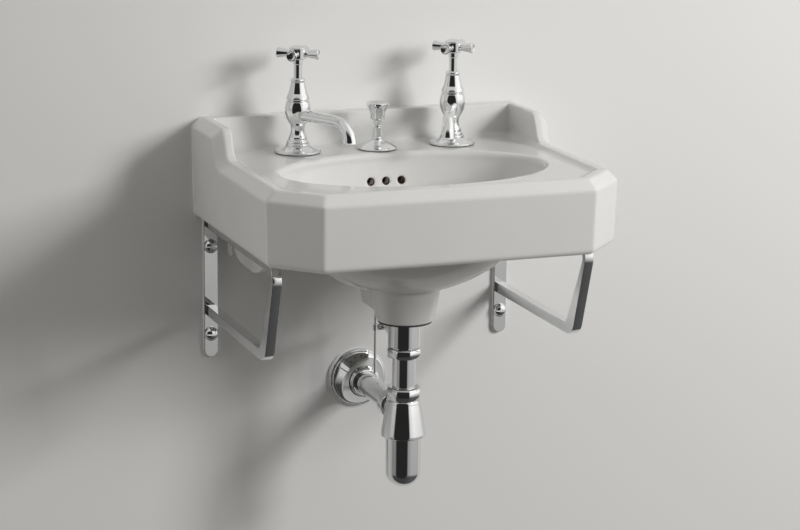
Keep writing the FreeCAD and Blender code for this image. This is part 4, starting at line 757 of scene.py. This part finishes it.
# Side views along Y: from the wall for the rose, nut and pipe, from the trap's axis for the bosses.
ROSE = ((40, 0), (41.5, 0), (41.5, -4.5), ((41, -6.0), (39.5, -6.5)), (38.9, -6.5), (38.9, -8.0),
        ((38.3, -9.6), (36.5, -10.4)), ((28.5, -19.5), (22.5, -30)), (20.5, -31), (20.5, -37),
        ((19.9, -38.4), (18.5, -39)), (16.05, -39), (16.05, -33), (18.05, -33), (25.5, -16),
        (35.5, -8), (37.5, -4), (37.5, -1))
OUTLET_NUT = ((17.7, -155), (19.5, -155), (20.5, -154), (20.5, -140),
              ((19.7, -137.8), (17.7, -137)), (16.05, -137), (16.05, -142.4), (17.7, -142.4))
PIPE = ((14.6, -144), (16, -144), (16, 1.5), (15.4, 1.5), (15.4, 3), (16, 3), (16, 40), (14.6, 40))
PIPE_BOSS = ((14.6, 20), (17.6, 20), (17.6, 41), (14.6, 41))
BALL_BOSS = ((6.8, 20.5), (8.4, 20.5), (8.4, 44), (6.8, 44))


def octagon_nut(name, corner, bore, top, foot, place):
    """A nut with eight flats and softened corners."""
    reach = corner * NUT_STRETCH
    points = [(reach * math.cos(k * math.pi / 4), reach * math.sin(k * math.pi / 4))
              for k in range(8)]
    ring = rounded(points, NUT_ROUND, 5, True)
    flat = corner * math.cos(math.pi / 8)
    end, bevel = flat + NUT_TAPER[0], flat + NUT_TAPER[1]
    near, far = NUT_EDGE
    loops = []
    for z, limit in ((foot, end), (foot + near, bevel), (foot + far, corner), (top - far, corner),
                     (top - near, bevel), (top, end), (top, bore), (foot, bore)):
        loop = []
        for x, y in ring:
            r = math.hypot(x, y)
            keep = bore / r if limit == bore else min(1.0, limit / r)
            loop.append(place @ Vector((x * keep, y * keep, z)))
        loops.append(loop)
    return stacked(name, loops + loops[:1], CHROME, False)


def cup_outline():
    """The trap's cup with its round foot, outside and then inside."""
    inner, drop = CUP_R - CUP_WALL, WAIST - CUP_FOOT
    angles = [math.radians(degrees) for degrees in range(0, 91, 5)]
    outside = [(CUP_R * math.sin(angle), WAIST - drop * math.cos(angle)) for angle in angles]
    inside = [(inner * math.sin(angle), WAIST - (drop - CUP_WALL) * math.cos(angle))
              for angle in reversed(angles)]
    return outside + [(CUP_R, CUP_RIM), (inner, CUP_RIM)] + inside, True


def trap():
    """The knob and its guide, the waste, the bottle trap and its way to the wall."""
    axis = moved(0, -OUTLET_Y)
    knob = moved(0, -KNOB_Y)
    for name, outline, place, node in (("guide", GUIDE, knob, "knob_guide"),
                                       ("waste_rim", FLANGE, axis, "waste_flange"),
                                       ("tube", TUBE, axis, "inlet_tube")):
        piece = turned("chrome_" + name, profile(*outline, soft=0.5), CHROME, place, 128)
        belongs(piece, "basin_unit", node)
    piece = turned("chrome_knob", profile(*KNOB, soft=0.5), CHROME, knob, 128)
    belongs(piece, "lift", "lift_knob")
    for name, corner, low, high in NUTS:
        nut = octagon_nut("chrome_%s_nut" % name, corner, NUT_BORE, high, low, axis)
        belongs(nut, "basin_unit", name + "_nut")
    cup = turned("chrome_cup", cup_outline(), CHROME, axis, 128)
    belongs(cup, "basin_unit", "trap_cup")
    bell = turned("bell", profile(*BELL, soft=0.6), CHROME, axis, 128)
    to_wall = moved(0, -OUTLET_Y, PIPE_Z) @ turn(-90, "X")
    boss = turned("boss", profile(*PIPE_BOSS, soft=0.4), CHROME, to_wall)
    belongs(joined("chrome_bell", [bell, boss]), "basin_unit", "trap_body")
    from_wall = moved(0, 0, PIPE_Z) @ turn(-90, "X")
    for name, outline, node in (("rose", ROSE, "wall_rose"),
                                ("outlet_nut", OUTLET_NUT, "outlet_nut"),
                                ("pipe", PIPE, "outlet_pipe")):
        piece = turned("chrome_" + name, profile(*outline, soft=0.4), CHROME, from_wall, 128)
        belongs(piece, "basin_unit", node)
    sleeve = turned("sleeve", profile(*BODY, soft=0.3), CHROME, axis, 128)
    aside = math.degrees(math.asin(ROD_ASIDE / (OUTLET_Y - KNOB_Y)))
    to_rod = moved(0, -OUTLET_Y, PORT_Z) @ turn(-aside, "Z") @ turn(-90, "X")
    boss = turned("boss", profile(*BALL_BOSS, soft=0.3), CHROME, to_rod)
    belongs(joined("chrome_sleeve", [sleeve, boss]), "basin_unit", "waste_body")


basin()
brackets()
taps()
trap()


# ---- wall and light ----------------------------------------------------------------------------
# Places in metres.
WALL_PLACE, WALL_SCALE = (0.3, 0.0006, -0.2), (5.0, 3.4, 1)     # just behind the basin's back
WALL_CLEAR = 3 * MM                   # light that starts closer than this passes through the wall
DARK_TOWARDS = (-0.483, -0.875)       # middle of the dark sector, seen from the object
FLOOR_TONE, FLOOR_IN_PLATE = (0.13, 0.127, 0.12), (0.05, 0.05, 0.05)
PALE, DARK, BLACK = (0.6, 0.595, 0.58), (0.02, 0.02, 0.02), (0, 0, 0)
LAMP_AIM = (0, -0.15, 0)


def wall():
    """The room's wall, unseen from behind, which lets light reach the basin's back."""
    bpy.ops.mesh.primitive_plane_add(size=1, location=WALL_PLACE, rotation=(math.pi / 2, 0, 0))
    made = bpy.context.object
    made.name = "room_wall"
    made.scale = WALL_SCALE
    mat, nt, shader = tree("wall", (0.9, 0.893, 0.878), 0, 0.9)
    cloud = noise(nt, 2.5, 4.0)
    tone = mixed(nt, spread(nt, cloud, 0.3, 0.7, 0, 1), PAINT, PAINT_DEEP)
    nt.links.new(tone, shader.inputs["Base Color"])
    clear = add(nt, "ShaderNodeBsdfTransparent")
    face = add(nt, "ShaderNodeNewGeometry")
    pick = add(nt, "ShaderNodeMixShader")
    run = add(nt, "ShaderNodeLightPath").outputs["Ray Length"]
    near = maths(nt, "LESS_THAN", run, WALL_CLEAR)
    nt.links.new(maths(nt, "MAXIMUM", face.outputs["Backfacing"], near), pick.inputs[0])
    nt.links.new(shader.outputs[0], pick.inputs[1])
    nt.links.new(clear.outputs[0], pick.inputs[2])
    nt.links.new(pick.outputs[0], nt.nodes["Material Output"].inputs["Surface"])
    made.data.materials.append(mat)


def lamp(name, place, size, watts):
    """A square lamp aimed at the basin."""
    data = bpy.data.lights.new(name, "AREA")
    data.shape = "RECTANGLE"
    data.size = data.size_y = size
    data.energy = watts
    made = bpy.data.objects.new(name, data)
    made.location = place
    made.rotation_euler = (Vector(LAMP_AIM) - Vector(place)).to_track_quat("-Z", "Y").to_euler()
    bpy.context.collection.objects.link(made)
    return made


def room():
    """The room's own light: plain to the camera, and not the same in reflections as otherwise.

    It is dark in a sector ahead of the object and dim below. Soft light comes more from the left,
    and reflections show a brighter right side.
    """
    world = bpy.data.worlds.new("room")
    bpy.context.scene.world = world
    world.use_nodes = True
    nt = world.node_tree
    back = nt.nodes["Background"]
    split = add(nt, "ShaderNodeSeparateXYZ")
    nt.links.new(add(nt, "ShaderNodeTexCoord").outputs["Generated"], split.inputs[0])
    x, y, z = split.outputs
    path = add(nt, "ShaderNodeLightPath")
    mirrored = path.outputs["Is Glossy Ray"]
    ahead = maths(nt, "ADD", maths(nt, "MULTIPLY", x, DARK_TOWARDS[0]),
                  maths(nt, "MULTIPLY", y, DARK_TOWARDS[1]))
    in_sector = spread(nt, ahead, 0.71, 0.79, 0, 1)
    dark = maths(nt, "MULTIPLY", in_sector, spread(nt, z, 0.45, 0.75, 1, 0))
    floor = mixed(nt, mirrored, FLOOR_TONE, FLOOR_IN_PLATE)
    white = mixed(nt, spread(nt, z, -0.5, 0.1, 0, 1), floor, PALE)
    leftward = spread(nt, x, -0.95, -0.3, 2.7, 0.95)
    soft = maths(nt, "MULTIPLY", leftward, spread(nt, z, 0.2, 0.8, 1, 0.5))
    hard = spread(nt, x, 0.0, 0.6, 1.0, 1.9)
    level = maths(nt, "ADD", maths(nt, "MULTIPLY", soft, maths(nt, "SUBTRACT", 1, mirrored)),
                  maths(nt, "MULTIPLY", hard, mirrored))
    white = mixed(nt, level, BLACK, white)
    tone = mixed(nt, dark, white, DARK)
    seen = mixed(nt, path.outputs["Is Camera Ray"], tone, PALE)
    nt.links.new(seen, back.inputs["Color"])
    back.inputs["Strength"].default_value = 1.0


wall()
room()
lamp("key", (1.92, -2.16, 1.02), 0.9, 49).visible_glossy = False     # its light without its image
lamp("glint", (1.86, -2.1, 1.3), 0.26, 5)


# ---- camera ------------------------------------------------------------------------------------
# Fitted to the basin's edges in the photo: angles in radians, place in millimetres.
CAMERA_YAW, CAMERA_PITCH, CAMERA_ROLL = 0.36448, 0.23158, 0.01268
CAMERA_PLACE = (-1146.88, -3172.49, 625.05)
FOCAL_PIXELS, PHOTO_WIDTH, SENSOR = 2472.48, 800, 36


def camera():
    """The photo's camera."""
    yaw, pitch, roll = CAMERA_YAW, CAMERA_PITCH, CAMERA_ROLL
    forward = Vector((math.sin(yaw) * math.cos(pitch), math.cos(yaw) * math.cos(pitch),
                      -math.sin(pitch)))
    right = Vector((math.cos(yaw), -math.sin(yaw), 0))
    up = right.cross(forward)
    turned_right = right * math.cos(roll) + up * math.sin(roll)
    turned_up = up * math.cos(roll) - right * math.sin(roll)
    data = bpy.data.cameras.new("camera")
    data.sensor_width = SENSOR
    data.lens = FOCAL_PIXELS * SENSOR / PHOTO_WIDTH
    data.clip_start = 0.1
    made = bpy.data.objects.new("camera", data)
    basis = Matrix((turned_right, turned_up, -forward)).transposed()
    made.matrix_world = Matrix.Translation(Vector(CAMERA_PLACE) * MM) @ basis.to_4x4()
    bpy.context.collection.objects.link(made)
    bpy.context.scene.camera = made


camera()
bpy.context.scene.view_settings.view_transform = "Standard"
